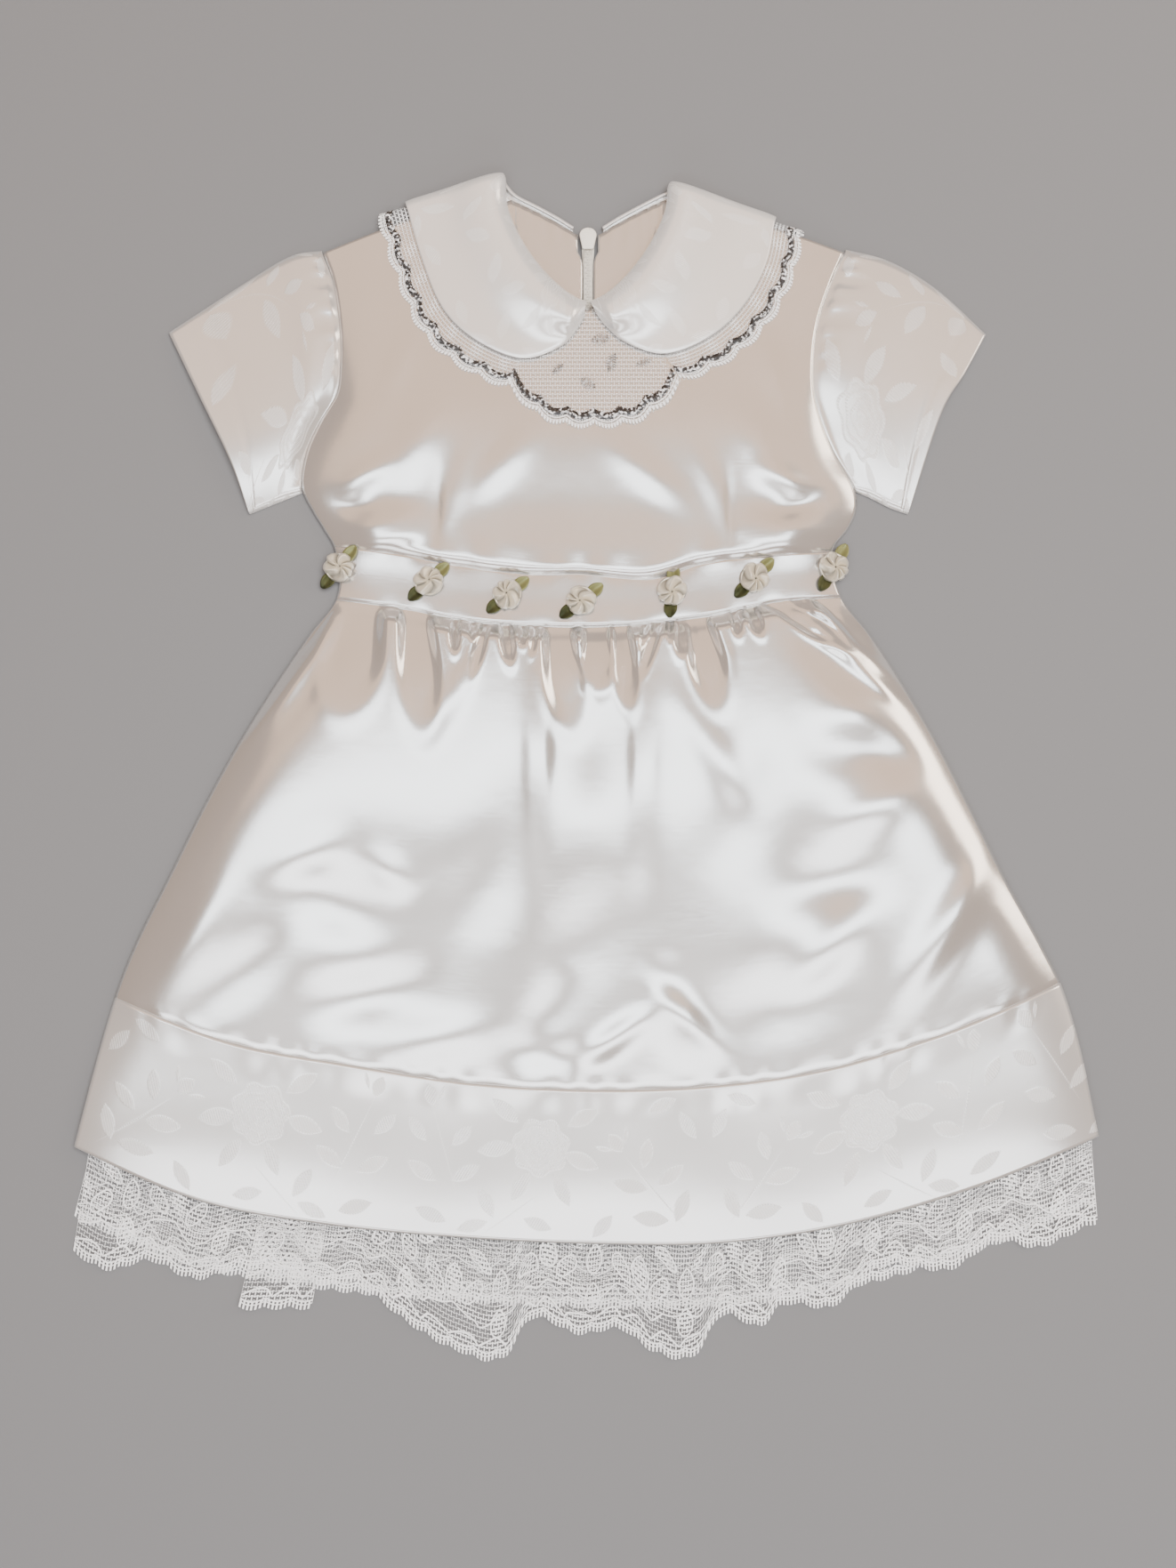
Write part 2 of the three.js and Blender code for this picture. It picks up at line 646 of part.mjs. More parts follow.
function addCollarLace(side) {
  const sections = collarSections(side);
  const { firstStep, inset, reach } = collarLace;
  const steps = {
    front: shares(2 * collarScallops.front).map((share) => lerp(firstStep, sections.lastStep, share)),
    fold: foldShares,
    back: shares(2 * collarScallops.back).map((share) => share * sections.lastBack),
  };
  const scallop = (step, isBack) => {
    const share = isBack ? step / sections.lastBack : (step - firstStep) / (sections.lastStep - firstStep);
    const count = isBack ? collarScallops.back : collarScallops.front;
    return collarScallops.depth * Math.abs(Math.sin(Math.PI * count * share));
  };
  const underside = collarWall + seamGap + laceWall / 2;
  const heights = { frontHeight: (x, y) => frontMiddle(x, y) + laceLift, backHeight: () => underside };
  const distances = [
    () => inset,
    (width) => lerp(inset, width, 0.5),
    (width) => width - 1,
    (width, step, isBack) => width + reach + scallop(step, isBack),
  ];
  const grid = distances.map((distance) => wrapRow(sections, steps, laceFoldReach, { distance, ...heights }));
  addPiece("collar_lace_" + side, clothWall(grid, laceWall), finishes.lace);
}

function addBib() {
  const { turn, inset, leftX, rightX, sideY, footY, power } = bib;
  const top = (share) => neckPoint(lerp(-turn, turn, share), inset);
  const bottom = (share) => {
    const x = lerp(leftX, rightX, share);
    return point(x, lerp(footY, sideY, Math.abs(2 * share - 1) ** power));
  };
  const straight = (from, to) => (share) => from.clone().lerp(to, share);
  const edges = { top, bottom, left: straight(top(0), bottom(0)), right: straight(top(1), bottom(1)) };
  const grid = panelGrid(edges, shares(14), shares(5), (x, y) => frontMiddle(x, y) + laceLift);
  addPiece("lace_bib", clothWall(grid, laceWall, { upright: true }), finishes.lace);
}

// Waistband, skirt and hem band

function addWaistband() {
  const edges = bandEdges("waistTop", "waistBottom");
  const front = panelGrid(edges, shares(36), shares(2), frontMiddle);
  addPiece("waistband_front", clothWall(front, satinWall, { upright: true }), finishes.satin);
  for (const side of ["left", "right"]) {
    const back = panelGrid(halfBack(edges, side), shares(backColumns), shares(1), backMiddle);
    addPiece("waistband_back_" + side, clothWall(back, satinWall, { upright: true }), finishes.satin);
  }
}

// Uneven gathers: waves across the waist that fade down the skirt, some short and some long.
function gatherHeight(share, below) {
  const uneven = share + 0.006 * Math.sin(19 * share + 1) + 0.004 * Math.sin(47 * share);
  const wave = Math.cos(2 * Math.PI * gathers.count * uneven);
  const size = 0.75 + 0.25 * Math.sin(31 * share + 2);
  const fade = lerp(gathers.shortFade, gathers.longFade, 0.5 + 0.5 * Math.sin(23 * share + 0.6));
  return gathers.height * size * wave * Math.exp(-below / fade);
}

function addSkirt() {
  const edges = bandEdges("waistBottom", "bandSeam");
  const rowShares = [0, 0.03, 0.065, 0.11, 0.17, 0.26, 0.4, 0.58, 0.78, 1];
  const backRowShares = [0, 0.126, 0.156, 0.28, 0.42, 0.56, 0.7, 0.85, 1];
  const height = (x, y, across, down) => {
    const below = edges.top(across).distanceTo(edges.bottom(across)) * down;
    return frontMiddle(x, y) + gatherHeight(across, below) * sideShare(x, y);
  };
  const front = panelGrid(edges, shares(gathers.count * gathers.stepsEach), rowShares, height);
  addPiece("skirt_front", clothWall(front, satinWall, { upright: true }), finishes.satin);
  for (const side of ["left", "right"]) {
    const back = panelGrid(halfBack(edges, side), shares(backColumns), backRowShares, backMiddle);
    addPiece("skirt_back_" + side, clothWall(back, satinWall, { upright: true }), finishes.satin);
  }
}

function hemFrontMiddle(x, y, down) {
  return frontMiddle(x, y) + hemLift * smoothstep(down, 0, 0.85);
}

function addHemBand() {
  const edges = bandEdges("bandSeam", "hem");
  const front = panelGrid(edges, shares(44), shares(4), (x, y, across, down) => hemFrontMiddle(x, y, down));
  addPiece("hem_band_front", clothWall(front, satinWall, { upright: true }), finishes.jacquard);
  const back = panelGrid(edges, shares(20), shares(1), backMiddle);
  addPiece("hem_band_back", clothWall(back, satinWall, { upright: true }), finishes.jacquard);
}

// Hem lace: caught inside the hem, it drops to the surface below it.

function laceGrid(columns, distances, dropAt, height) {
  const hemLine = crossLine("hem", 0);
  return distances.map((distanceAt) =>
    shares(columns).map((share) => {
      const drop = dropAt(share);
      const distance = distanceAt(drop);
      const topX = lerp(hemLace.leftTop, hemLace.rightTop, share);
      const footX = lerp(hemLace.leftFoot, hemLace.rightFoot, share);
      const x = lerp(topX, footX, Math.max(0, distance) / drop);
      const width = hemLine(1).x - hemLine(0).x;
      const hemY = hemLine((topX - hemLine(0).x) / width).y;
      return new THREE.Vector3(x, hemY - distance, height(x, hemY, distance));
    }),
  );
}

function addHemLace() {
  const dropAcross = reader(laceDropRows, "x", "drop");
  const scallop = (share) => hemLace.scallopDepth * Math.abs(Math.sin(Math.PI * hemLace.scallops * share));
  const inside = [() => -hemLace.tuck, () => hemLace.clear];
  const frontDrop = (share) => dropAcross(lerp(hemLace.leftFoot, hemLace.rightFoot, share)) + scallop(share);
  const frontHeight = (x, hemY, distance) => {
    const caught = hemFrontMiddle(x, hemY, 1) - laceLift - seamGap / 2;
    const lying = laceWall + seamGap + laceWall / 2;
    return lerp(caught, lying, smoothstep(distance, hemLace.clear, hemLace.frontSettle));
  };
  const frontRows = [...inside, () => 6, () => hemLace.frontSettle, (drop) => drop];
  const front = laceGrid(2 * hemLace.scallops, frontRows, frontDrop, frontHeight);
  addPiece("hem_lace_front", clothWall(front, laceWall, { upright: true }), finishes.lace);

  const backDrop = (share) => hemLace.backDrop + scallop(share);
  const backHeight = (x, hemY, distance) => {
    const caught = satinWall + seamGap + laceWall / 2;
    return lerp(caught, laceWall / 2, smoothstep(distance, hemLace.clear, hemLace.backSettle));
  };
  const backRows = [...inside, () => 4, () => hemLace.backSettle, (drop) => drop];
  const back = laceGrid(hemLace.scallops, backRows, backDrop, backHeight);
  addPiece("hem_lace_back", clothWall(back, laceWall, { upright: true }), finishes.lace);
}

// Ribbon roses, each on a short ribbon whose two ends are its leaves

function addRose(row, number) {
  const onBand = (x, y) => frontMiddle(x, y) + satinWall / 2 + seamGap;
  const turn = degToRad(row.leafTurn);
  const leafGrid = [-1, 1].map((edge) =>
    shares(10).map((share) => {
      const along = 2 * share - 1;
      const bulge = Math.sin(Math.PI * THREE.MathUtils.clamp((Math.abs(along) - 0.25) / 0.75, 0, 1));
      const base = lerp(leaf.middleWidth, leaf.tipWidth, Math.abs(along));
      const half = (edge * lerp(base, leaf.widest, bulge)) / 2;
      const x = row.x + leaf.reach * along * Math.cos(turn) - half * Math.sin(turn);
      const y = row.y + leaf.reach * along * Math.sin(turn) + half * Math.cos(turn);
      return new THREE.Vector3(x, y, onBand(x, y) + ribbonWall / 2);
    }),
  );
  addPiece("leaves_" + number, clothWall(leafGrid, ribbonWall, { upright: true }), finishes.leaf);

  const positions = [];
  const index = [];
  const flower = (radius, angle, height) => {
    const x = row.x + radius * Math.cos(angle);
    const y = row.y + radius * Math.sin(angle);
    positions.push(new THREE.Vector3(x, y, onBand(x, y) + ribbonWall + seamGap + height));
  };
  flower(0, 0, rose.height * 0.8);
  for (let ring = 1; ring <= rose.rings + 1; ring++) {
    const under = ring > rose.rings;
    const share = under ? 1 : ring / rose.rings;
    for (let i = 0; i < rose.segments; i++) {
      const angle = (2 * Math.PI * i) / rose.segments;
      const petal = Math.cos(rose.petals * angle - 2 * Math.PI * rose.swirl * share);
      const radius = rose.radius * share * (1 + 0.07 * petal) * (under ? 0.86 : 1);
      const dome = rose.height * (1 - 0.62 * share ** 2) * (1 + 0.16 * petal);
      flower(radius, angle, under ? 0 : dome);
    }
  }
  flower(0, 0, 0);
  const ringVertex = (ring, i) => 1 + (ring - 1) * rose.segments + (i % rose.segments);
  for (let i = 0; i < rose.segments; i++) {
    index.push(0, ringVertex(1, i), ringVertex(1, i + 1));
    for (let ring = 1; ring <= rose.rings; ring++) {
      const [a, b] = [ringVertex(ring, i), ringVertex(ring, i + 1)];
      const [c, d] = [ringVertex(ring + 1, i), ringVertex(ring + 1, i + 1)];
      index.push(a, c, d, a, d, b);
    }
    index.push(positions.length - 1, ringVertex(rose.rings + 1, i + 1), ringVertex(rose.rings + 1, i));
  }
  addPiece("rosette_" + number, facingOut(positions, index), finishes.rose);
}

// Zip: the chain between the two backs, the slider at its top and the pull tab hinged under it

const wasm = await Module();
wasm.setup();

function solid(geometry) {
  const bare = geometry.clone();
  bare.deleteAttribute("normal");
  bare.deleteAttribute("uv");
  const merged = mergeVertices(bare, 1e-3);
  return new wasm.Manifold(
    new wasm.Mesh({
      numProp: 3,
      vertProperties: new Float32Array(merged.attributes.position.array),
      triVerts: new Uint32Array(merged.index.array),
    }),
  );
}

function joined(...geometries) {
  const mesh = geometries.map(solid).reduce((whole, next) => whole.add(next)).getMesh();
  const geometry = new THREE.BufferGeometry();
  geometry.setAttribute("position", new THREE.BufferAttribute(new Float32Array(mesh.vertProperties), 3));
  geometry.setIndex(new THREE.BufferAttribute(new Uint32Array(mesh.triVerts), 1));
  return geometry;
}

// A box from its lowest and highest corners.
function block(low, high) {
  const size = high.map((value, axis) => value - low[axis]);
  const middle = high.map((value, axis) => (value + low[axis]) / 2);
  return new THREE.BoxGeometry(...size).translate(...middle);
}

function addZip() {
  const chain = shares(16).map((share) =>
    [-1, 1].map((edge) => {
      const y = lerp(zip.topY, zip.footY, share);
      return new THREE.Vector3(edge * zip.half, y, backMiddle(0, y));
    }),
  );
  addPiece("zip_chain", clothWall(chain, zip.wall, { upright: true }), finishes.zip);

  const { middleY, halfLength, topHalf, footHalf, bottomZ, topZ } = slider;
  const outline = new THREE.Shape();
  outline.moveTo(-footHalf, -halfLength);
  outline.lineTo(footHalf, -halfLength);
  outline.lineTo(topHalf, halfLength * 0.3);
  outline.bezierCurveTo(topHalf, halfLength, topHalf * 0.5, halfLength, 0, halfLength);
  outline.bezierCurveTo(-topHalf * 0.5, halfLength, -topHalf, halfLength, -topHalf, halfLength * 0.3);
  const plateCut = { depth: topZ - bottomZ, bevelEnabled: false, curveSegments: 5 };
  const plate = new THREE.ExtrudeGeometry(outline, plateCut);
  plate.translate(0, middleY, bottomZ);
  const post = (end) => {
    const [near, far] = [end * bridge.inner, end * bridge.outer].sort((a, b) => a - b);
    const low = [-bridge.half, middleY + near, bridge.crownBottom];
    return block(low, [bridge.half, middleY + far, bottomZ + bridge.rooted]);
  };
  const crown = block(
    [-bridge.half, middleY - bridge.outer, bridge.crownBottom],
    [bridge.half, middleY + bridge.outer, bridge.crownTop],
  );
  addPiece("zip_slider", joined(plate, post(1), post(-1), crown), finishes.slider);

  const tab = new THREE.Shape();
  const tail = -pull.length;
  tab.moveTo(-pull.half, 0);
  tab.lineTo(-pull.half * 0.8, tail + pull.half);
  tab.bezierCurveTo(-pull.half * 0.8, tail, pull.half * 0.8, tail, pull.half * 0.8, tail + pull.half);
  tab.lineTo(pull.half, 0);
  const hole = new THREE.Path();
  hole.moveTo(-pullWindow.half, -pull.barRadius);
  hole.lineTo(pullWindow.half, -pull.barRadius);
  hole.lineTo(pullWindow.half, -pullWindow.length);
  hole.lineTo(-pullWindow.half, -pullWindow.length);
  tab.holes.push(hole);
  const tabCut = { depth: pull.wall, bevelEnabled: false, curveSegments: 6 };
  const tabPlate = new THREE.ExtrudeGeometry(tab, tabCut);
  tabPlate.translate(0, middleY, pull.axisZ - pull.wall / 2);
  const bar = new THREE.CylinderGeometry(pull.barRadius, pull.barRadius, 2 * pull.half, 8);
  bar.rotateZ(Math.PI / 2).translate(0, middleY, pull.axisZ);
  addPiece("zip_pull", joined(tabPlate, bar), finishes.slider);
}

addBodiceFront();
for (const side of ["left", "right"]) {
  addBodiceBack(side);
  addSleeve(side);
  addCollar(side);
  addCollarLace(side);
}
addBib();
addWaistband();
addSkirt();
addHemBand();
addHemLace();
roseRows.forEach((row, i) => addRose(row, i + 1));
addZip();

export default gown;
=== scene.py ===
"""Christening gown laid flat: satin, jacquard, lace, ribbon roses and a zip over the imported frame."""

import math
from bisect import bisect_left
from collections import namedtuple
from functools import lru_cache
from types import SimpleNamespace

import bmesh
import bpy
from bpy.props import FloatProperty, FloatVectorProperty, PointerProperty
from mathutils import Matrix, Vector


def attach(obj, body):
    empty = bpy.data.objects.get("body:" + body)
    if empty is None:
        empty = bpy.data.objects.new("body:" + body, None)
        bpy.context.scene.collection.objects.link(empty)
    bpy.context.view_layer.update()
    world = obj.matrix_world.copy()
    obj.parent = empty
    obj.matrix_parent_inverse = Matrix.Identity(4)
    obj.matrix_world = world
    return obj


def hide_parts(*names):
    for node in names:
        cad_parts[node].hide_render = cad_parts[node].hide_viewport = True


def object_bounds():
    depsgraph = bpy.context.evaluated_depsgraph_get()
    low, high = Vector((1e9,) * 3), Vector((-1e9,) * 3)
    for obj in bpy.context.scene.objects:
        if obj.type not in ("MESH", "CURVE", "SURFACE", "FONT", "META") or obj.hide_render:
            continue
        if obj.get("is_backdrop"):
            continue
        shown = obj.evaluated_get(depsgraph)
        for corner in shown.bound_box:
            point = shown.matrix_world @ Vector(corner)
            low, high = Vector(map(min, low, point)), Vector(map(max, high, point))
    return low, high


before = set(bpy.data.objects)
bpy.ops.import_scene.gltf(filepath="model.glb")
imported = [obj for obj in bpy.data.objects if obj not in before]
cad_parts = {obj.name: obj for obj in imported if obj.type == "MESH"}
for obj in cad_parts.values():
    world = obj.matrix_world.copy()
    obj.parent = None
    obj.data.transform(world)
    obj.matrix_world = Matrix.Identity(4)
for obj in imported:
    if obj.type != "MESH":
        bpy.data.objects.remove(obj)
cad_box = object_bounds()

bl_info = {
    "name": "Christening gown",
    "version": (1, 0, 0),
    "blender": (4, 5, 0),
    "location": "View3D > Sidebar > Gown",
    "description": "Builds a laid-out christening gown in satin, jacquard and lace",
    "category": "Object",
}

# Sizes are in millimetres and are made metres where a point is placed; only the cut of a sheet is in metres
MM = 0.001

# The walls that set how high each layer lies
SATIN_WALL = 1.2
LACE_WALL = 1.0
COLLAR_WALL = 1.4
RIBBON_WALL = 0.6
SEAM_GAP = 0.3
LAYER_STEP = SATIN_WALL + SEAM_GAP
LACE_LIFT = SATIN_WALL / 2 + SEAM_GAP + LACE_WALL / 2
COLLAR_LIFT = LACE_LIFT + LACE_WALL / 2 + SEAM_GAP + COLLAR_WALL / 2
SHOULDER_LIFT = COLLAR_WALL + SEAM_GAP + LACE_WALL + SEAM_GAP
LIFT_BAND = SimpleNamespace(start_y=118, full_y=186, full_x=100, end_x=136)
SIDE_ROUNDING = 18

# Side outline of the laid gown, a row for each height
Side = namedtuple("Side", "y left right")
SIDE_ROWS = (
    Side(238, -123.5, 119.5),
    Side(226, -119.3, 114.2),
    Side(205, -116, 107.2),
    Side(186, -115.6, 105),
    Side(172, -117.5, 105.6),
    Side(160, -125, 108.8),
    Side(145, -131.8, 115),
    Side(128, -133.3, 124.4),
    Side(118, -128.5, 125.2),
    Side(110, -123.6, 121.6),
    Side(101, -118.5, 115),
    Side(77, -117.5, 118.5),
    Side(60, -130, 131.5),
    Side(16, -159, 159.2),
    Side(-17, -177.6, 176.5),
    Side(-55, -196.6, 195.4),
    Side(-84, -211, 211.3),
    Side(-106, -219.8, 222),
    Side(-178, -239.4, 239),
)

# Seams that cross the gown, a row for each share of its width
Cross = namedtuple("Cross", "share waist_top waist_bottom band_seam hem")
CROSS_ROWS = (
    Cross(0, 101.9, 76.5, -109.4, -179),
    Cross(0.125, 98.2, 72.7, -129.6, -203.8),
    Cross(0.25, 92.6, 67, -140, -214.8),
    Cross(0.375, 89, 64.5, -148.5, -220.6),
    Cross(0.5, 89, 64, -151.6, -223.6),
    Cross(0.625, 86.6, 65.6, -150, -223.5),
    Cross(0.75, 94, 69.5, -142.2, -215),
    Cross(0.875, 97.4, 75.6, -125.3, -197.9),
    Cross(1, 99.4, 77.7, -102.3, -174),
)

# How far the front stands off the back along its middle
Fullness = namedtuple("Fullness", "y rise")
FULLNESS_ROWS = (
    Fullness(272, 0),
    Fullness(240, 0.2),
    Fullness(190, 3.6),
    Fullness(150, 7.5),
    Fullness(112, 7),
    Fullness(88, 4.5),
    Fullness(66, 5),
    Fullness(36, 10),
    Fullness(0, 12),
    Fullness(-80, 9),
    Fullness(-140, 6),
    Fullness(-224, 2),
)

# Soft folds of the front: middle, direction in degrees, length, width and height
Fold = namedtuple("Fold", "x y turn length width height")
MAIN_FOLDS = (
    Fold(-24, 2, 90, 150, 8, 2.2),
    Fold(27, 0, 88, 150, 8, 2.0),
    Fold(-140, 36, 57, 96, 9, 4.0),
    Fold(131, 54, -52, 70, 8, 4.0),
    Fold(-115, -67, -30, 90, 16, -3.0),
    Fold(-104, -108, 15, 80, 13, -2.0),
    Fold(-20, -120, 70, 60, 11, -2.0),
    Fold(40, -118, -62, 70, 10, 1.8),
    Fold(124, 8, 0, 70, 15, -3.0),
    Fold(112, -55, 20, 80, 14, -2.4),
    Fold(160, -90, 54, 130, 11, 2.6),
    Fold(-80, 148, 62, 70, 10, 1.8),
    Fold(82, 146, -58, 70, 10, 1.8),
    Fold(-98, 110, 12, 56, 8, 3.0),
    Fold(94, 108, -10, 56, 8, 3.0),
)
SKIRT_CREASES = (
    Fold(-21, 2, 90, 130, 5, 0.5),
    Fold(23, -2, 89, 140, 5, 0.5),
    Fold(1, 14, 90, 90, 13, -1.8),
    Fold(-63, 30, 62, 62, 6, 1.2),
    Fold(58, 6, -58, 96, 8, 1.4),
    Fold(-128, 50, 56, 80, 3.0, 2.0),
    Fold(-150, 22, 53, 70, 3.2, 1.8),
    Fold(-134, 32, 55, 90, 7, -1.6),
    Fold(112, 58, -42, 60, 3.2, 2.2),
    Fold(136, 36, -38, 56, 3.2, 1.8),
    Fold(117, 44, -40, 80, 8, -1.8),
    Fold(-115, -67, -30, 90, 16, 1.0),
    Fold(-108, -60, -20, 130, 26, -1.6),
    Fold(-132, -44, 24, 60, 10, 1.5),
    Fold(-92, -50, -40, 40, 8, 1.0),
    Fold(-100, -106, 8, 130, 22, -1.6),
    Fold(-70, -128, 12, 80, 10, 1.3),
    Fold(-6, -86, 58, 100, 21, -2.2),
    Fold(-36, -36, 78, 110, 18, -1.6),
    Fold(34, -104, 84, 44, 9, -1.2),
    Fold(12, -128, 36, 70, 6, 1.6),
    Fold(46, -118, -44, 70, 6, 1.5),
    Fold(-14, -137, -10, 70, 8, -1.0),
    Fold(126, 24, 24, 60, 13, 1.6),
    Fold(142, 2, -20, 50, 9, -1.4),
    Fold(124, 8, 0, 70, 15, 1.0),
    Fold(104, -40, 6, 130, 24, -1.8),
    Fold(74, -20, 64, 90, 13, -1.4),
    Fold(134, -20, 24, 70, 9, 1.3),
    Fold(92, -112, 22, 110, 18, -1.9),
    Fold(112, -86, 48, 80, 9, 1.4),
    Fold(172, -66, 56, 120, 8, 1.8),
    Fold(160, -94, 52, 120, 13, -2.0),
    Fold(-182, -78, 60, 110, 10, 1.6),
    Fold(-162, -98, 40, 100, 13, -1.8),
    Fold(-56, -70, 70, 100, 16, -1.2),
)
BODICE_CREASES = (
    Fold(-62, 124, 76, 60, 5, 0.9),
    Fold(-40, 138, 48, 66, 7, 1.0),
    Fold(28, 134, -40, 74, 7, 1.0),
    Fold(58, 128, -72, 60, 5, 0.9),
    Fold(92, 132, -24, 44, 6, 1.6),
    Fold(98, 120, 24, 40, 5, -1.4),
    Fold(-104, 134, 32, 46, 6, 1.5),
    Fold(-112, 120, -18, 36, 5, -1.3),
    Fold(-88, 186, 70, 60, 6, 1.0),
    Fold(86, 182, -70, 60, 6, 1.0),
    Fold(-92, 104, 8, 40, 4, 1.2),
    Fold(90, 102, -6, 40, 4, 1.2),
)
BACK_CREASES = (
    Fold(-60, 150, 60, 80, 9, 0.7),
    Fold(64, 146, -56, 80, 9, 0.7),
    Fold(-70, 20, 78, 110, 10, 0.9),
    Fold(-28, -20, 86, 150, 9, 0.8),
    Fold(36, -10, 94, 140, 9, 0.8),
    Fold(84, 14, 104, 110, 10, 0.9),
    Fold(-110, -60, 62, 100, 11, 0.8),
    Fold(118, -64, 118, 100, 11, 0.8),
)
WAIST_DARTS = (Fold(-70, 118, 88, 52, 1.9, -0.9), Fold(66, 117, 92, 52, 1.9, -0.9))

# Gathers under the waistband, each a cup that hangs from the seam: place, lean in degrees, length, width and
# how much of the skirt's puff it hollows out
Gather = namedtuple("Gather", "x lean length width hollow")
GATHERS = (
    Gather(-118, -35, 40, 7, 0.8),
    Gather(-105, -9, 54, 33, 1.0),
    Gather(-80.5, 5, 58, 23, 1.0),
    Gather(-61.5, 0, 18, 6, 0.9),
    Gather(-54, 10, 12, 5, 0.6),
    Gather(-47, -15, 30, 7, 0.45),
    Gather(-38.5, 8, 21, 8, 0.9),
    Gather(-30, 0, 12, 5, 0.5),
    Gather(-24.5, -5, 16, 4.5, 0.5),
    Gather(-14, 8, 50, 23, 1.0),
    Gather(4, 2, 32, 21, 1.0),
    Gather(15, 6, 41, 14, 1.0),
    Gather(27, -8, 16, 5, 0.5),
    Gather(33, -20, 34, 7, 0.5),
    Gather(38.5, 0, 12, 4, 0.5),
    Gather(44, 2, 20, 11, 0.9),
    Gather(50, 14, 45, 20, 1.0),
    Gather(67.5, 10, 14, 6, 0.6),
    Gather(75, 20, 16, 8, 0.7),
    Gather(86, 60, 46, 13, 1.0),
    Gather(97, 30, 16, 10, 0.8),
    Gather(111, 46, 52, 17, 1.0),
)
GATHER_CUP = SimpleNamespace(mouth=0.8, round_from=0.45, wall=0.52)
GATHER_LIP = SimpleNamespace(height=0.4, width=0.22)
SKIRT_PUFF = SimpleNamespace(height=12.8, full=8, foot_y=-62, fade_y=32)
BODICE_PUFF = SimpleNamespace(height=8.0, full=5, foot_y=98, fade_y=136)
SEAM_TUCK = SimpleNamespace(reach=1.6, depth=0.7)
BODICE_LENGTH = 140
SKIRT_LENGTH = 215

# Fine puckers along the seams: a wave that a slower one makes uneven
Pucker = namedtuple("Pucker", "height wave sway slow")
WAIST_PUCKER = Pucker(0.35, 4.1, 1, 9)
NECK_PUCKER = Pucker(0.3, 0.9, 2, 5)
NECK_PUCKER_RISE = SimpleNamespace(start_y=236, full_y=248)
BELT_PUCKER = Pucker(0.16, 3.7, 2, 13)
HEM_PUCKER = Pucker(0.25, 2.9, 2, 11)

# Slower waves of the waistband and of the hem band, and the waistband's rounded middle
BELT_WAVE = SimpleNamespace(height=0.14, wave=8.9, start=1)
BELT_CROWN = 0.4
HEM_SLACK = SimpleNamespace(height=0.7, wave=26, start=1.3)
HEM_RIPPLE = SimpleNamespace(height=0.35, wave=9, lean=4)

# Lower edge of the hem lace, as a drop below the hem, and the box fold that lies on it
LaceDrop = namedtuple("LaceDrop", "x drop")
LACE_DROPS = (
    LaceDrop(-241, 46),
    LaceDrop(-224, 46),
    LaceDrop(-205, 34),
    LaceDrop(-184, 35),
    LaceDrop(-162, 25),
    LaceDrop(-140, 26),
    LaceDrop(-122, 27),
    LaceDrop(-110, 25),
    LaceDrop(-79, 44),
    LaceDrop(-63, 52),
    LaceDrop(-38, 53),
    LaceDrop(-28, 36),
    LaceDrop(-5, 42),
    LaceDrop(15, 39),
    LaceDrop(30, 49),
    LaceDrop(51, 50),
    LaceDrop(61, 34),
    LaceDrop(82, 40),
    LaceDrop(89, 33),
    LaceDrop(115, 36),
    LaceDrop(137, 23),
    LaceDrop(170, 34),
    LaceDrop(191, 28),
    LaceDrop(210, 38),
    LaceDrop(238, 38),
)
HEM_LACE = SimpleNamespace(
    left_top=-233,
    right_top=235,
    left_foot=-241,
    right_foot=238,
    tuck=4.5,
    clear=0.8,
    front_settle=14,
    back_settle=8,
    back_drop=30,
    ruffle=2.2,
    repeat=44,
    scallop=11,
    scallop_depth=1.8,
)
HEM_LENGTH = HEM_LACE.right_foot - HEM_LACE.left_foot
BACK_LACE = SimpleNamespace(net=1.1, thread=0.7)
BOX_FOLD = SimpleNamespace(left=-159, right=-127, drop_left=45, drop_right=40.5, lift=1.2)
HEM_LIFT = 2 * (LACE_WALL + SEAM_GAP)
HEM_RUFFLE = Pucker(0.5, 7.4, 1.6, 19)

# Cloth work of the hem lace in one repeat: petals, and two rows of fans above the edge
Petal = namedtuple("Petal", "x y turn length width dense")
HEM_PETALS = (
    Petal(0, 31, 90, 15, 8, True),
    Petal(-9, 29, 124, 14, 6.5, False),
    Petal(9, 29, 56, 14, 6.5, False),
    Petal(22, 16, 90, 13, 7, True),
    Petal(22, 34, 90, 14, 7, False),
    Petal(-14, 45, 40, 13, 6, True),
    Petal(12, 45, 140, 13, 6, True),
)
LOW_FAN = SimpleNamespace(rise=5.5, depth=4.5, span=13.5)
HIGH_FAN = SimpleNamespace(rise=14, depth=6.5, span=27)
HEM_NET = SimpleNamespace(cut=3.4, dense=0.36, petal=0.24, fan=0.24, high=0.2, high_depth=6, open=0.1)
HEM_EDGING = SimpleNamespace(pitch=1.75, size=1, step=0.8)
HEM_THREAD = SimpleNamespace(low=0.9, high=0.8, petal=0.75, petal_lift=0.3, petal_points=18, clear=0.5)

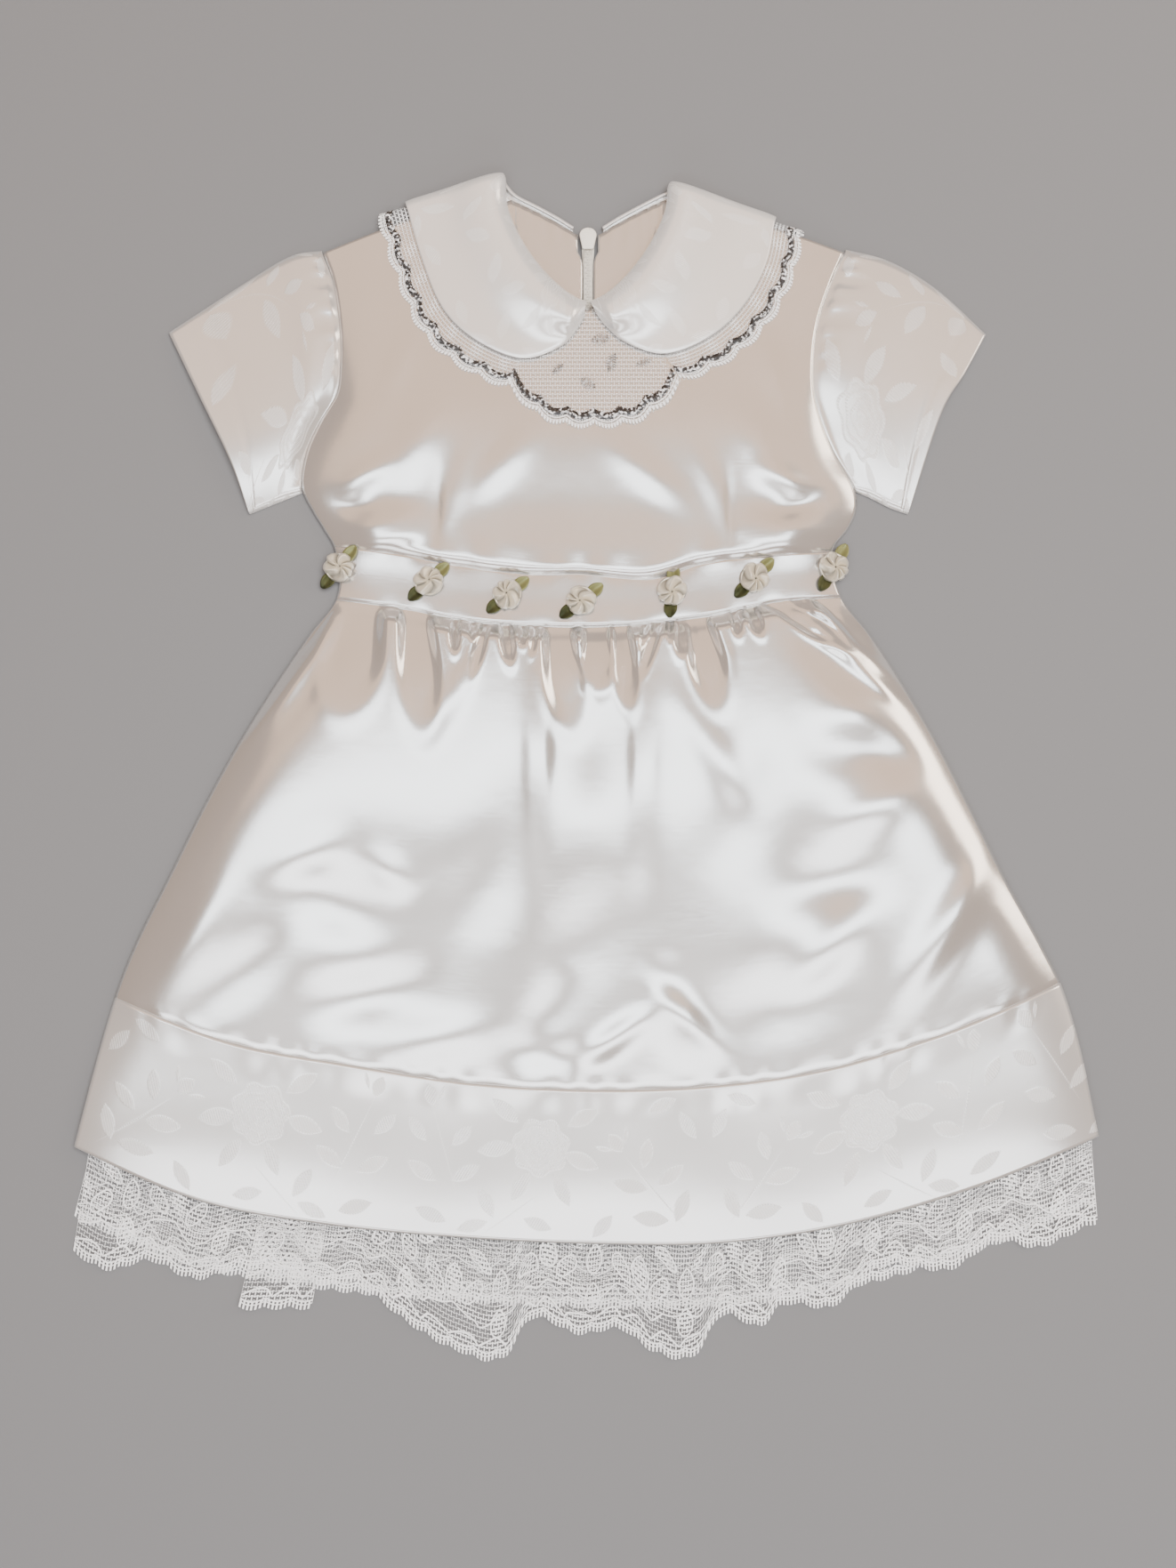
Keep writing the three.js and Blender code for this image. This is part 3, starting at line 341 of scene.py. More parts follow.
# Neck edge and collar
NECK = SimpleNamespace(left_width=37.7, right_width=36.5, depth=48, middle=262, power=1.42)
NECK_TOP = SimpleNamespace(left=271, right=267)
NECK_TURN = 110
CollarFront = namedtuple("CollarFront", "step angle edge_x edge_y")
COLLAR_FRONT = {
    "left": (
        CollarFront(0, 4, -2.4, 207),
        CollarFront(1, 12, -7, 199.5),
        CollarFront(2, 22, -14, 192.6),
        CollarFront(3, 32, -31, 187.3),
        CollarFront(4, 43, -52.7, 196.5),
        CollarFront(5, 60, -68, 212),
        CollarFront(6, 83, -78, 237),
        CollarFront(7, NECK_TURN, -84, 258),
    ),
    "right": (
        CollarFront(0, 4, 4.6, 208.5),
        CollarFront(1, 12, 9, 202.7),
        CollarFront(2, 22, 18.4, 194.8),
        CollarFront(3, 32, 36, 189.6),
        CollarFront(4, 43, 56.9, 197.9),
        CollarFront(5, 60, 73, 213.5),
        CollarFront(6, 83, 83, 233),
        CollarFront(7, NECK_TURN, 86.5, 251),
    ),
}
CollarBack = namedtuple("CollarBack", "step neck_x neck_y edge_x edge_y")
COLLAR_BACK = (
    CollarBack(1, 33, 266, 76, 226),
    CollarBack(2, 24, 261.5, 52, 207),
    CollarBack(3, 14, 256, 26, 200.5),
    CollarBack(4, 7, 251.5, 8, 199.5),
)
BACK_NECK_START = CollarBack(0, 37, 268, 0, 0)
Roll = namedtuple("Roll", "inset front back")
COLLAR_ROLL = (
    Roll(1.8, -2.6, 2.9),
    Roll(0.4, 1.2, 1.0),
    Roll(2.2, 4.6, 0.1),
    Roll(7, 7.4, 0),
    Roll(14, 6.8, 0),
)
Bow = namedtuple("Bow", "part height")
COLLAR_BOWS = (
    Bow(0.25, 4.3),
    Bow(0.5, 1.9),
    Bow(0.75, 0.9),
    Bow(0.93, 0.6),
    Bow(1, 0),
)
COLLAR_COVER = SimpleNamespace(start_y=185, full_y=215, pressed=0.6)
COLLAR_ROLL_WIDTH = 20
COLLAR_FOLD_REACH = 4.1
LACE_FOLD_REACH = 1.8
BODICE_NECK_INSET = 3.2
SHOULDER_INSET = 1.8
BACK_NECK_DROP = 5
SHOULDER_SHARE = 0.28
SHOULDER_TIP_Y = 238.6
COLLAR_LACE = SimpleNamespace(inset=4.5, reach=12.6, first_step=3, scallop=15.5, scallop_depth=2.4, under=9)
SCALLOP_LEAF = Petal(COLLAR_LACE.scallop / 2, 12, 60, 9, 5, True)
COLLAR_LACE_ROWS = 8
COLLAR_LACE_TURN = 0.62
BIB = SimpleNamespace(turn=27, inset=5, left_x=-38, right_x=44, side_y=176, foot_y=154.8, power=3, lift=0.5)
BIB_BORDER = SimpleNamespace(length=86, depth=48, scallops=6, scallop_depth=2.2)

# Thread of the lace: cells of the net, rows of the worked edge, and what the neck's lace has of both
HEXAGON = SimpleNamespace(row=0.87, lean=0.16)
FRINGE = SimpleNamespace(rows=(4.3, 3.6, 2.6, 2.1, 0), line_lift=0.3, loop_lift=0.1)
NECK_EDGING = SimpleNamespace(pitch=1.5, size=0.38, step=0.9, line=2.6, thread=0.4)
NECK_NET = SimpleNamespace(pitch=2.0, cut=1.2, leaf=0.16, edge=0.14, edge_rise=3, open=0.08)
BIB_NET = SimpleNamespace(pitch=2.3, open=0.09)

# Metal thread of the collar lace: its line inside the edge, and the leaves on the bib
SILVER = SimpleNamespace(rise=5.0, sway=1.5, turns=3.9, step=0.3, width=0.8, lift=0.6)
LEAF_THREAD = SimpleNamespace(width=0.6, lift=0.8)
SilverLeaf = namedtuple("SilverLeaf", "x y turn length width")
SILVER_LEAVES = (
    SilverLeaf(6, 197, 10, 8.5, 5.5),
    SilverLeaf(11, 186, 70, 8.5, 5.5),
    SilverLeaf(0, 176, -30, 8, 5),
    SilverLeaf(26, 186, 15, 7, 3),
    SilverLeaf(-14, 183, 40, 6, 3),
)

# Sleeves: the folded edge over the cap, the cuff and the underarm
SLEEVE_EDGES = {
    "left": SimpleNamespace(
        cap=((-124.5, 239.5), (-138, 237.6), (-156, 227.5), (-196, 201.5)),
        cuff=((-196, 201.5), (-181, 171), (-166.5, 141), (-158.5, 117)),
        under=((-134, 126.8), (-146.5, 121.8), (-158.5, 117)),
    ),
    "right": SimpleNamespace(
        cap=((120.5, 240), (140.6, 235), (163.3, 221.5), (186, 200.6)),
        cuff=((186, 200.6), (176, 182.5), (164.3, 162.7), (149.8, 117)),
        under=((125, 127.6), (132.5, 124.4), (141.7, 119.8), (149.8, 117)),
    ),
}
SLEEVE = SimpleNamespace(armpit_y=127.4, fullness=6, tuck=2.2, ridge=1.3, soft=1.1)
SLEEVE_WAVE = SimpleNamespace(across=5.2, along=3.1, start=0.7)
SLEEVE_HEM = SimpleNamespace(place=0.85, depth=0.5, width=0.014)

# Gathers of the sleeve cap, in shares of the armhole and of the sleeve's length
CapGather = namedtuple("CapGather", "across length width")
CAP_GATHERS = (
    CapGather(0.06, 0.22, 0.05),
    CapGather(0.13, 0.34, 0.08),
    CapGather(0.205, 0.18, 0.05),
    CapGather(0.29, 0.42, 0.10),
    CapGather(0.385, 0.24, 0.06),
    CapGather(0.47, 0.18, 0.07),
)

# Roses along the waistband, with the direction of the two leaves under each
Rose = namedtuple("Rose", "x y leaf_turn spin")
ROSES = (
    Rose(-116.2, 91.5, 50, 10),
    Rose(-74.1, 84.4, 42, 55),
    Rose(-37.3, 78.3, 40, 130),
    Rose(-3.1, 75.6, 38, 200),
    Rose(39, 80.2, 85, 255),
    Rose(77.3, 86.3, 45, 300),
    Rose(114.4, 91.5, 60, 345),
)
ROSE_FORM = SimpleNamespace(height=6.5, shoulder=0.58, crown=0.24, notch=0.09, rim=1.8)
ROSE_EYE = SimpleNamespace(radius=0.05, depth=1.5)
ROSE_UNDERSIDE = SimpleNamespace(outer=0.9, inner=0.62, top=0.36, foot=0.05, cut=0.003)
PLEAT = SimpleNamespace(count=6, height=4.2, rise=0.74, swirl=0.5, eye=0.8)
PLEAT_WAVES = ((1, 0.4, 0), (2, 0.28, 1))
ROSE_CUT = (0.04, 0.007)
LEAF_CUT = (0.026, 0.005)
LEAF = SimpleNamespace(reach=12.6, widest=6.2, middle_width=2.6, tip_width=1.4, fold=1.3)
LEAF_FORM = SimpleNamespace(stalk=0.25, round=0.8, lift=0.3, curl=0.5, curl_turns=5)

# Zip down the centre back
ZIP = SimpleNamespace(half=2.2, top_y=239.6, foot_y=37, pitch=1.25, tape_wall=0.4)
COIL = SimpleNamespace(radius=1, form=(1.15, 0.5, 0.55), aside=0.45)
ZIP_OPENING = SimpleNamespace(half=2.6, slider_half=4.8, slider_from=238.5)
SLIDER = SimpleNamespace(middle_y=245, half_length=5, top_half=4, foot_half=2.6, bottom_z=2.4, top_z=5.1)
BRIDGE = SimpleNamespace(half=1, outer=4.2, inner=3.2, bottom=0.2, top=0.65, rooted=0.5)
PULL = SimpleNamespace(axis_z=1.35, half=3, length=20, wall=0.8, above=0.4, taper=0.8, round_from=0.84)
PULL_WINDOW = SimpleNamespace(half=1.4, length=4.4)
SHARP = SimpleNamespace(slider=0.6, pull=0.9)
ROUNDING = SimpleNamespace(slider=0.6, bridge=0.12, pull=0.15)

# Woven motifs of the jacquard in one repeat: leaves, stems and buds are lenses, a bloom is rings of petals
REPEAT = SimpleNamespace(width=150, height=78)
Lens = namedtuple("Lens", "x y turn length width")
Bloom = namedtuple("Bloom", "x y radius")
LENSES = (
    Lens(24, 25, 50, 52, 1.2),
    Lens(12, 19, 112, 17, 7.5),
    Lens(27, 13, 6, 18, 8),
    Lens(17, 34, 142, 16, 7),
    Lens(37, 29, 12, 18, 8),
    Lens(29, 45, 102, 15, 7),
    Lens(44, 50, 52, 11, 7.5),
    Lens(39, 54, 98, 9, 2.6),
    Lens(50, 47, 12, 9, 2.6),
    Lens(60, 62, 152, 18, 8),
    Lens(61, 41, 22, 19, 8.5),
    Lens(99, 64, 38, 18, 8),
    Lens(103, 45, 168, 19, 8.5),
    Lens(90, 27, 118, 18, 7.5),
    Lens(70, 26, 62, 18, 7.5),
    Lens(95, 12, 140, 40, 1.2),
    Lens(81, 9, 18, 15, 7),
    Lens(106, 18, 62, 17, 7.5),
    Lens(112, 6, 160, 16, 7),
    Lens(128, 42, 70, 54, 1.2),
    Lens(117, 32, 148, 17, 7.5),
    Lens(138, 31, 30, 17, 7.5),
    Lens(120, 50, 132, 15, 7),
    Lens(142, 51, 48, 15, 7),
    Lens(137, 68, 72, 11, 7.5),
    Lens(131, 70, 108, 9, 2.6),
    Lens(8, 58, 60, 16, 7),
    Lens(20, 68, 158, 16, 7),
    Lens(132, 10, 20, 17, 7.5),
    Lens(50, 9, 130, 15, 7),
)
BLOOMS = (Bloom(81, 47, 14),)
PetalRing = namedtuple("PetalRing", "size lobes phase")
PETAL_RINGS = (
    PetalRing(0.98, 7, 0),
    PetalRing(0.72, 5, 2.2),
    PetalRing(0.45, 4, 1.0),
    PetalRing(0.2, 3, 0.4),
)


def measure(name, description, default):
    """A size in metres that a user may change."""
    return FloatProperty(name=name, description=description, default=default, unit="LENGTH", precision=4)


class GownSizes(bpy.types.PropertyGroup):
    """Sizes of the cloth and trim that a maker may change."""

    satin_wall: measure("Satin", "Thickness of the satin", 0.0009)
    collar_wall: measure("Collar", "Thickness of the collar", 0.0013)
    ribbon_wall: measure("Ribbon", "Thickness of the ribbon", 0.0003)
    net_pitch: measure("Net", "Width of one cell of the hem lace", 0.0025)
    thread: measure("Thread", "Width of the outlining thread", 0.0009)
    rose_radius: measure("Rose", "Radius of a ribbon rose", 0.007)


def colour(name, description, default):
    """A colour that a user may change."""
    return FloatVectorProperty(
        name=name, description=description, default=default, size=3, subtype="COLOR", min=0, max=1
    )


class GownColours(bpy.types.PropertyGroup):
    """Colours of the cloth, ribbon and zip."""

    satin: colour("Satin", "Colour of the plain satin", (0.90, 0.885, 0.87))
    figure: colour("Figure", "Colour of the woven flowers", (0.70, 0.685, 0.67))
    lace: colour("Lace", "Colour of the net", (0.96, 0.96, 0.97))
    silver: colour("Silver thread", "Colour of the metal thread", (0.95, 0.95, 0.97))
    rose: colour("Rose ribbon", "Colour of the roses", (0.90, 0.83, 0.68))
    # The two leaf greens are the ends of painted light on the leaf ribbon: the darker is painted shade on the
    # lower leaf, the lighter the upper leaf's green
    leaf_dark: colour("Leaf fold", "Darker green of the leaves", (0.025, 0.03, 0.008))
    leaf_light: colour("Leaf edge", "Lighter green of the leaves", (0.26, 0.27, 0.11))
    zip_coil: colour("Zip", "Colour of the zip", (0.62, 0.59, 0.53))
    floor: colour("Floor", "Colour of the floor", (0.17, 0.17, 0.175))


def smoothstep(x, low, high):
    """0 below low, 1 above high, and a soft rise between."""
    t = min(max((x - low) / (high - low), 0), 1)
    return t * t * (3 - 2 * t)


def mix(a, b, share):
    """The value a share of the way from a to b."""
    return a + (b - a) * share


def reader(rows, key, column):
    """A smooth function through one column of a table, read along another column."""
    ordered = sorted(rows, key=lambda row: getattr(row, key))
    at = [getattr(row, key) for row in ordered]
    value = [getattr(row, column) for row in ordered]
    last = len(at) - 1
    secant = [(value[i + 1] - value[i]) / (at[i + 1] - at[i]) for i in range(last)]
    slope = [(secant[max(i - 1, 0)] + secant[min(i, last - 1)]) / 2 for i in range(last + 1)]

    def read(x):
        x = min(max(x, at[0]), at[-1])
        i = min(max(bisect_left(at, x) - 1, 0), last - 1)
        span = at[i + 1] - at[i]
        t = (x - at[i]) / span
        start = value[i] * (1 + 2 * t) * (1 - t) ** 2 + slope[i] * span * t * (1 - t) ** 2
        end = value[i + 1] * (3 - 2 * t) * t**2 + slope[i + 1] * span * (t - 1) * t**2
        return start + end

    return read


def spline(pairs):
    """A smooth curve through points, as a function of a share of its points."""
    points = [Vector(pair) for pair in pairs]
    last = len(points) - 1

    def at(share):
        place = min(max(share, 0), 1) * last
        i = min(int(place), last - 1)
        t = place - i
        before, start, end, after = (points[min(max(i + k, 0), last)] for k in (-1, 0, 1, 2))
        into = (end - before) / 2
        out = (after - start) / 2
        near = start * ((1 + 2 * t) * (1 - t) ** 2) + into * (t * (1 - t) ** 2)
        return near + end * ((3 - 2 * t) * t**2) + out * ((t - 1) * t**2)

    return at


left_side = reader(SIDE_ROWS, "y", "left")
right_side = reader(SIDE_ROWS, "y", "right")
fullness = reader(FULLNESS_ROWS, "y", "rise")
sides = {"left": left_side, "right": right_side}
marks = {"left": -1, "right": 1}


def folds(rows):
    """The height that a table of soft folds adds at a point."""
    worked = [(row, math.cos(math.radians(row.turn)), math.sin(math.radians(row.turn))) for row in rows]

    def height(x, y):
        total = 0
        for row, cos, sin in worked:
            along = (x - row.x) * cos + (y - row.y) * sin
            reach = 1 - abs(2 * along / row.length)
            aside = ((y - row.y) * cos - (x - row.x) * sin) / row.width
            if reach > 0 and abs(aside) < 3:
                total += row.height * smoothstep(reach, 0, 1) * math.exp(-aside * aside)
        return total

    return height


main_folds = folds(MAIN_FOLDS)
skirt_creases = folds(SKIRT_CREASES)
bodice_creases = folds(BODICE_CREASES)
back_creases = folds(BACK_CREASES)
waist_darts = folds(WAIST_DARTS)


def back_middle(x, y):
    """Height of the back's cloth, which the collar lifts under the shoulders."""
    along = smoothstep(y, LIFT_BAND.start_y, LIFT_BAND.full_y)
    across = 1 - smoothstep(abs(x), LIFT_BAND.full_x, LIFT_BAND.end_x)
    return SATIN_WALL / 2 + SHOULDER_LIFT * along * across


def side_share(x, y):
    """How far a point is from the folded sides: 0 on them, and near 1 well inside."""
    distance = max(0, min(x - left_side(y), right_side(y) - x))
    return 1 - math.exp(-distance / SIDE_ROUNDING)


def front_middle(x, y):
    """Height of the front's cloth with its largest folds."""
    return back_middle(x, y) + LAYER_STEP + (fullness(y) + main_folds(x, y)) * side_share(x, y)


class Panel:
    """A panel of cloth spanned by four edges, each a function of a share from 0 to 1."""

    def __init__(self, top, bottom, left, right):
        edges = (top, bottom, left, right)
        self.top, self.bottom, self.left, self.right = (lru_cache(None)(edge) for edge in edges)

    def at(self, across, down):
        between_seams = self.top(across).lerp(self.bottom(across), down)
        between_sides = self.left(down).lerp(self.right(down), across)
        upper = self.top(0).lerp(self.top(1), across)
        lower = self.bottom(0).lerp(self.bottom(1), across)
        return between_seams + between_sides - upper.lerp(lower, down)


def cross_line(column, shift):
    """A seam across the gown, moved up or down by half a seam's gap."""
    height = reader(CROSS_ROWS, "share", column)
    start = left_side(height(0))
    end = right_side(height(1))
    return lambda share: Vector((mix(start, end, share), height(share) + shift))


def side_edge(side, top_y, bottom_y):
    """The folded side of a panel between two heights."""

    def at(down):
        y = mix(top_y, bottom_y, down)
        return Vector((side(y), y))

    return at


def band_panel(top_column, bottom_column, top_shift=-SEAM_GAP / 2, bottom_shift=SEAM_GAP / 2):
    """The panel between two seams that cross the gown."""
    top = cross_line(top_column, top_shift)
    bottom = cross_line(bottom_column, bottom_shift)
    left = side_edge(left_side, top(0).y, bottom(0).y)
    right = side_edge(right_side, top(1).y, bottom(1).y)
    return Panel(top, bottom, left, right)


def centre_back_half(y):
    """Half the gap between the two backs: wide at the slider, then the zip's, then a closed seam."""
    beside = mix(SEAM_GAP / 2, ZIP_OPENING.half, smoothstep(y, ZIP.foot_y - 6, ZIP.foot_y - 1))
    at_slider = smoothstep(y, ZIP_OPENING.slider_from - 4, ZIP_OPENING.slider_from)
    return mix(beside, ZIP_OPENING.slider_half, at_slider)


def half_back(panel, side):
    """One half of a back panel, cut along the centre back."""
    mark = marks[side]

    def half(line):
        middle = line(0.5)
        centre = mark * centre_back_half(middle.y)

        def at(share):
            outer = line(0.5 + mark * share / 2)
            return Vector((outer.x + (centre - middle.x) * (1 - share), outer.y))

        return at

    def inner(down):
        y = mix(panel.top(0.5).y, panel.bottom(0.5).y, down)
        return Vector((mark * centre_back_half(y), y))

    outer_side = panel.left if side == "left" else panel.right
    return Panel(half(panel.top), half(panel.bottom), inner, outer_side)


def neck_point(angle, inset=0):
    """A point of the neck edge, by its angle from the centre front."""
    right = angle > 0
    turn = abs(angle)
    width = (NECK.right_width if right else NECK.left_width) + inset
    top = NECK_TOP.right if right else NECK_TOP.left
    mark = 1 if right else -1
    if turn > 90:
        return Vector((mark * width, mix(NECK.middle, top, (turn - 90) / (NECK_TURN - 90))))
    across = math.sin(math.radians(turn)) ** (2 / NECK.power)
    down = abs(math.cos(math.radians(turn))) ** (2 / NECK.power)
    return Vector((mark * width * across, NECK.middle - (NECK.depth + inset) * down))


class Value:
    """A shader socket in an expression: an operator adds the Math node that works it out."""

    def __init__(self, finish, socket):
        self.finish = finish
        self.socket = socket

    def pick(self, output):
        """Another output of the same node."""
        return Value(self.finish, self.socket.node.outputs[output])

    def maths(self, operation, *operands):
        return self.finish.node("ShaderNodeMath", {"operation": operation}, dict(enumerate(operands)))

    def __add__(self, other):
        return self.maths("ADD", self, other)

    def __radd__(self, other):
        return self.maths("ADD", other, self)

    def __sub__(self, other):
        return self.maths("SUBTRACT", self, other)

    def __rsub__(self, other):
        return self.maths("SUBTRACT", other, self)

    def __mul__(self, other):
        return self.maths("MULTIPLY", self, other)

    def __rmul__(self, other):
        return self.maths("MULTIPLY", other, self)

    def __truediv__(self, other):
        return self.maths("DIVIDE", self, other)

    def __rtruediv__(self, other):
        return self.maths("DIVIDE", other, self)

    def __pow__(self, other):
        return self.maths("POWER", self, other)

    def __abs__(self):
        return self.maths("ABSOLUTE", self)

    def largest(self, other):
        return self.maths("MAXIMUM", self, other)

    def sine(self):
        return self.maths("SINE", self)

    def within(self):
        """The value held between 0 and 1."""
        return self.maths("MINIMUM", self.maths("MAXIMUM", self, 0), 1)


class Finish:
    """One procedural material and the nodes that make it."""

    def __init__(self, name, **sockets):
        self.material = bpy.data.materials.new(name)
        self.material.use_nodes = True
        self.tree = self.material.node_tree
        self.shader = self.tree.nodes["Principled BSDF"]
        for key, value in sockets.items():
            self.set(key.replace("_", " ").title().replace("Ior", "IOR"), value)

    def set(self, socket, value):
        self.connect(self.shader.inputs[socket], value)

    def connect(self, socket, value):
        if isinstance(value, Value):
            self.tree.links.new(value.socket, socket)
        else:
            socket.default_value = value

    def node(self, kind, settings=None, inputs=None, output=0):
        """A node of a kind, with its settings first and then the values or links of its sockets."""
        made = self.tree.nodes.new(kind)
        for name, value in (settings or {}).items():
            setattr(made, name, value)
        for key, value in (inputs or {}).items():
            self.connect(made.inputs[key], value)
        return Value(self, made.outputs[output])

    def place(self):
        """The point on the piece, in metres."""
        return self.node("ShaderNodeTexCoord", output="Object")

    def cloth(self):
        """The point on the uncut cloth, in metres along it and up it."""
        cut = self.node("ShaderNodeUVMap", {"uv_map": "cloth"})
        at = self.node("ShaderNodeSeparateXYZ", None, {0: cut})
        return at, at.pick("Y")

    def noise(self, vector, scale, detail=2.0):
        return self.node("ShaderNodeTexNoise", None, {"Vector": vector, "Scale": scale, "Detail": detail})

    def tint(self, share, low, high):
        """A colour a share of the way between two."""
        return self.node("ShaderNodeMix", {"data_type": "RGBA"}, {0: share, 6: low, 7: high}, output=2)

    def bump(self, height, distance, strength=0.5):
        inputs = {"Height": height, "Distance": distance, "Strength": strength}
        self.set("Normal", self.node("ShaderNodeBump", None, inputs))


def solid(rgb, scale=1.0):
    """A colour setting with its alpha, darkened by a scale."""
    return (*(channel * scale for channel in rgb), 1.0)


def satin_finish():
    """Plain bridal satin: a bright sheen with faint slubs along the weft."""
    colours = bpy.context.scene.gown_colours
    finish = Finish("gown_satin", metallic=0.85, sheen_weight=0.1, sheen_roughness=0.4)
    along, up = finish.cloth()
    at = finish.place()
    slub = finish.node("ShaderNodeCombineXYZ", None, {0: along * 40, 1: up * 900})
    threads = finish.noise(slub, 1.0)
    soft = finish.noise(at, 22.0)
    finish.set("Base Color", finish.tint(soft, solid(colours.satin, 0.95), solid(colours.satin)))
    finish.set("Roughness", 0.16 + soft * 0.05 + threads * 0.03)
    finish.bump(threads * 0.2 + finish.noise(at, 160.0) * 0.8, 0.00012, 0.35)
    return finish.material


def woven_lens(along, up, lens):
    """A leaf, bud or stem: 1 inside a lens shape and 0 outside."""
    turn = math.radians(lens.turn)
    across = along - lens.x * MM
    above = up - lens.y * MM
    long_scale = 2 / (lens.length * MM)
    wide_scale = 2 / (lens.width * MM)
    run = across * (math.cos(turn) * long_scale) + above * (math.sin(turn) * long_scale)
    aside = above * (math.cos(turn) * wide_scale) - across * (math.sin(turn) * wide_scale)
    edge = (1 - run * run - abs(aside)) * (0.5 * lens.width)
    return edge.within()


def woven_bloom(along, up, bloom):
    """A full rose: rings of lobed petals, each drawn by its edge on a lighter woven fill."""
    across = (along - bloom.x * MM) / (bloom.radius * MM)
    above = (up - bloom.y * MM) / (bloom.radius * MM)
    radius = (across * across + above * above) ** 0.5
    turn = above.maths("ARCTAN2", above, across)
    figure = ((0.95 - radius) * 8).within() * 0.45
    for ring in PETAL_RINGS:
        edge = ring.size * (0.93 + 0.08 * (turn * ring.lobes + ring.phase).sine())
        figure = figure.largest((1.6 - abs(radius - edge) * (1.3 * bloom.radius)).within())
    return figure


def jacquard_finish(name, weight, gloss):
    """Satin of some gloss, with roses, buds and leaves woven in tone on tone by some weight."""
    colours = bpy.context.scene.gown_colours
    finish = Finish(name, sheen_weight=0.2, sheen_roughness=0.4)
    across, above = finish.cloth()
    along = across.maths("PINGPONG", across, REPEAT.width * MM)
    up = above.maths("PINGPONG", above, REPEAT.height * MM)
    figure = woven_lens(along, up, LENSES[0])
    for lens in LENSES[1:]:
        figure = figure.largest(woven_lens(along, up, lens))
    for bloom in BLOOMS:
        figure = figure.largest(woven_bloom(along, up, bloom))
    ticks = (((along + up * 0.5) * (2 * math.pi / (1.3 * MM))).sine() * 2 + 1.2).within()
    shown = (finish.noise(finish.place(), 11.0) * 3 - 1).within() * 0.6 + 0.4
    figure = figure * (0.45 + ticks * 0.55) * shown * weight
    soft = finish.noise(finish.place(), 22.0)
    ground = finish.tint(soft, solid(colours.satin, 0.95), solid(colours.satin))
    finish.set("Base Color", finish.tint(figure, ground, solid(colours.figure)))
    finish.set("Metallic", gloss - figure * 0.4)
    finish.set("Roughness", 0.19 + soft * 0.05 + figure * 0.2)
    finish.bump(figure + finish.noise(finish.place(), 160.0) * 0.3, 0.00015, 0.5)
    return finish.material


def lace_finish():
    """Twisted white nylon thread."""
    colours = bpy.context.scene.gown_colours
    finish = Finish("gown_lace", sheen_weight=0.3, specular_ior_level=0.4)
    twist = finish.noise(finish.place(), 1400.0)
    finish.set("Base Color", finish.tint(twist, solid(colours.lace, 0.86), solid(colours.lace)))
    finish.set("Roughness", 0.55 + twist * 0.2)
    finish.bump(twist, 0.0002)
    return finish.material


def silver_finish():
    """Metal thread worked into the lace, its glitter painted: random flecks painted bright as glints, the
    metal between them painted dark.
    """
    colours = bpy.context.scene.gown_colours
    finish = Finish("gown_silver")
    fleck = finish.noise(finish.place(), 700.0)
    # Painted glints: flecks painted bright and less metallic so they catch the fill light, the rest painted
    # as dark metal
    painted_glint = ((fleck - 0.5) * 9).within()
    finish.set("Base Color", finish.tint(painted_glint, solid(colours.silver, 0.12), solid(colours.silver)))
    finish.set("Metallic", 1 - painted_glint * 0.7)
    finish.set("Roughness", 0.2 + fleck * 0.25)
    finish.bump(fleck, 0.0004, 0.9)
    return finish.material


def pleat_shade(along, up):
    """Share of light on a rose's ribbon: none in the creases between its pleats."""
    across = along / ROSE_CUT[0]
    phase = across * PLEAT.count + (1 - up / ROSE_CUT[1]) * PLEAT.swirl
    for turns, size, start in PLEAT_WAVES:
        phase = phase + (across * (2 * math.pi * turns) + start).sine() * size
    part = phase.maths("FRACT", phase)
    return part.maths("MINIMUM", part / 0.3, (1 - part) / 0.12)


def leaf_shade(along, up):
    """Share of light on a leaf ribbon, from its lower leaf to its upper one."""
    return along / LEAF_CUT[0]


def ribbon_finish(name, low, high, shade):
    """Ribbon whose colour runs between two with the light on its folds, with a fine rib."""
    finish = Finish(name, sheen_weight=0.2, metallic=0.62)
    along, up = finish.cloth()
    soft = finish.noise(finish.place(), 190.0)
    rib = (along * (2 * math.pi / 0.0005)).sine()
    finish.set("Base Color", finish.tint((shade(along, up) + soft * 0.6 - 0.3).within(), low, high))
    finish.set("Roughness", 0.27 + soft * 0.1)
    finish.bump(rib * 0.4 + soft + up, 0.00008)
    return finish.material


def zip_finish():
    """Off-white zip coil and tape."""
    colours = bpy.context.scene.gown_colours
    finish = Finish("gown_zip", sheen_weight=0.1)
    grain = finish.noise(finish.place(), 1600.0)
    finish.set("Base Color", finish.tint(grain, solid(colours.zip_coil, 0.85), solid(colours.zip_coil)))
    finish.set("Roughness", 0.45 + grain * 0.2)
    finish.bump(grain, 0.0001)
    return finish.material


def enamel_finish():
    """White enamel on the zip's slider and pull, rubbed a little at random."""
    colours = bpy.context.scene.gown_colours
    finish = Finish("gown_enamel", coat_weight=0.4, coat_roughness=0.15)
    rubbed = ((finish.noise(finish.place(), 500.0, 4.0) - 0.6) * 5).within()
    finish.set("Base Color", finish.tint(rubbed, solid(colours.zip_coil, 1.3), solid(colours.silver, 0.7)))
    finish.set("Metallic", rubbed * 0.8)
    finish.set("Roughness", 0.3 + rubbed * 0.2)
    finish.bump(rubbed, 0.00005)
    return finish.material


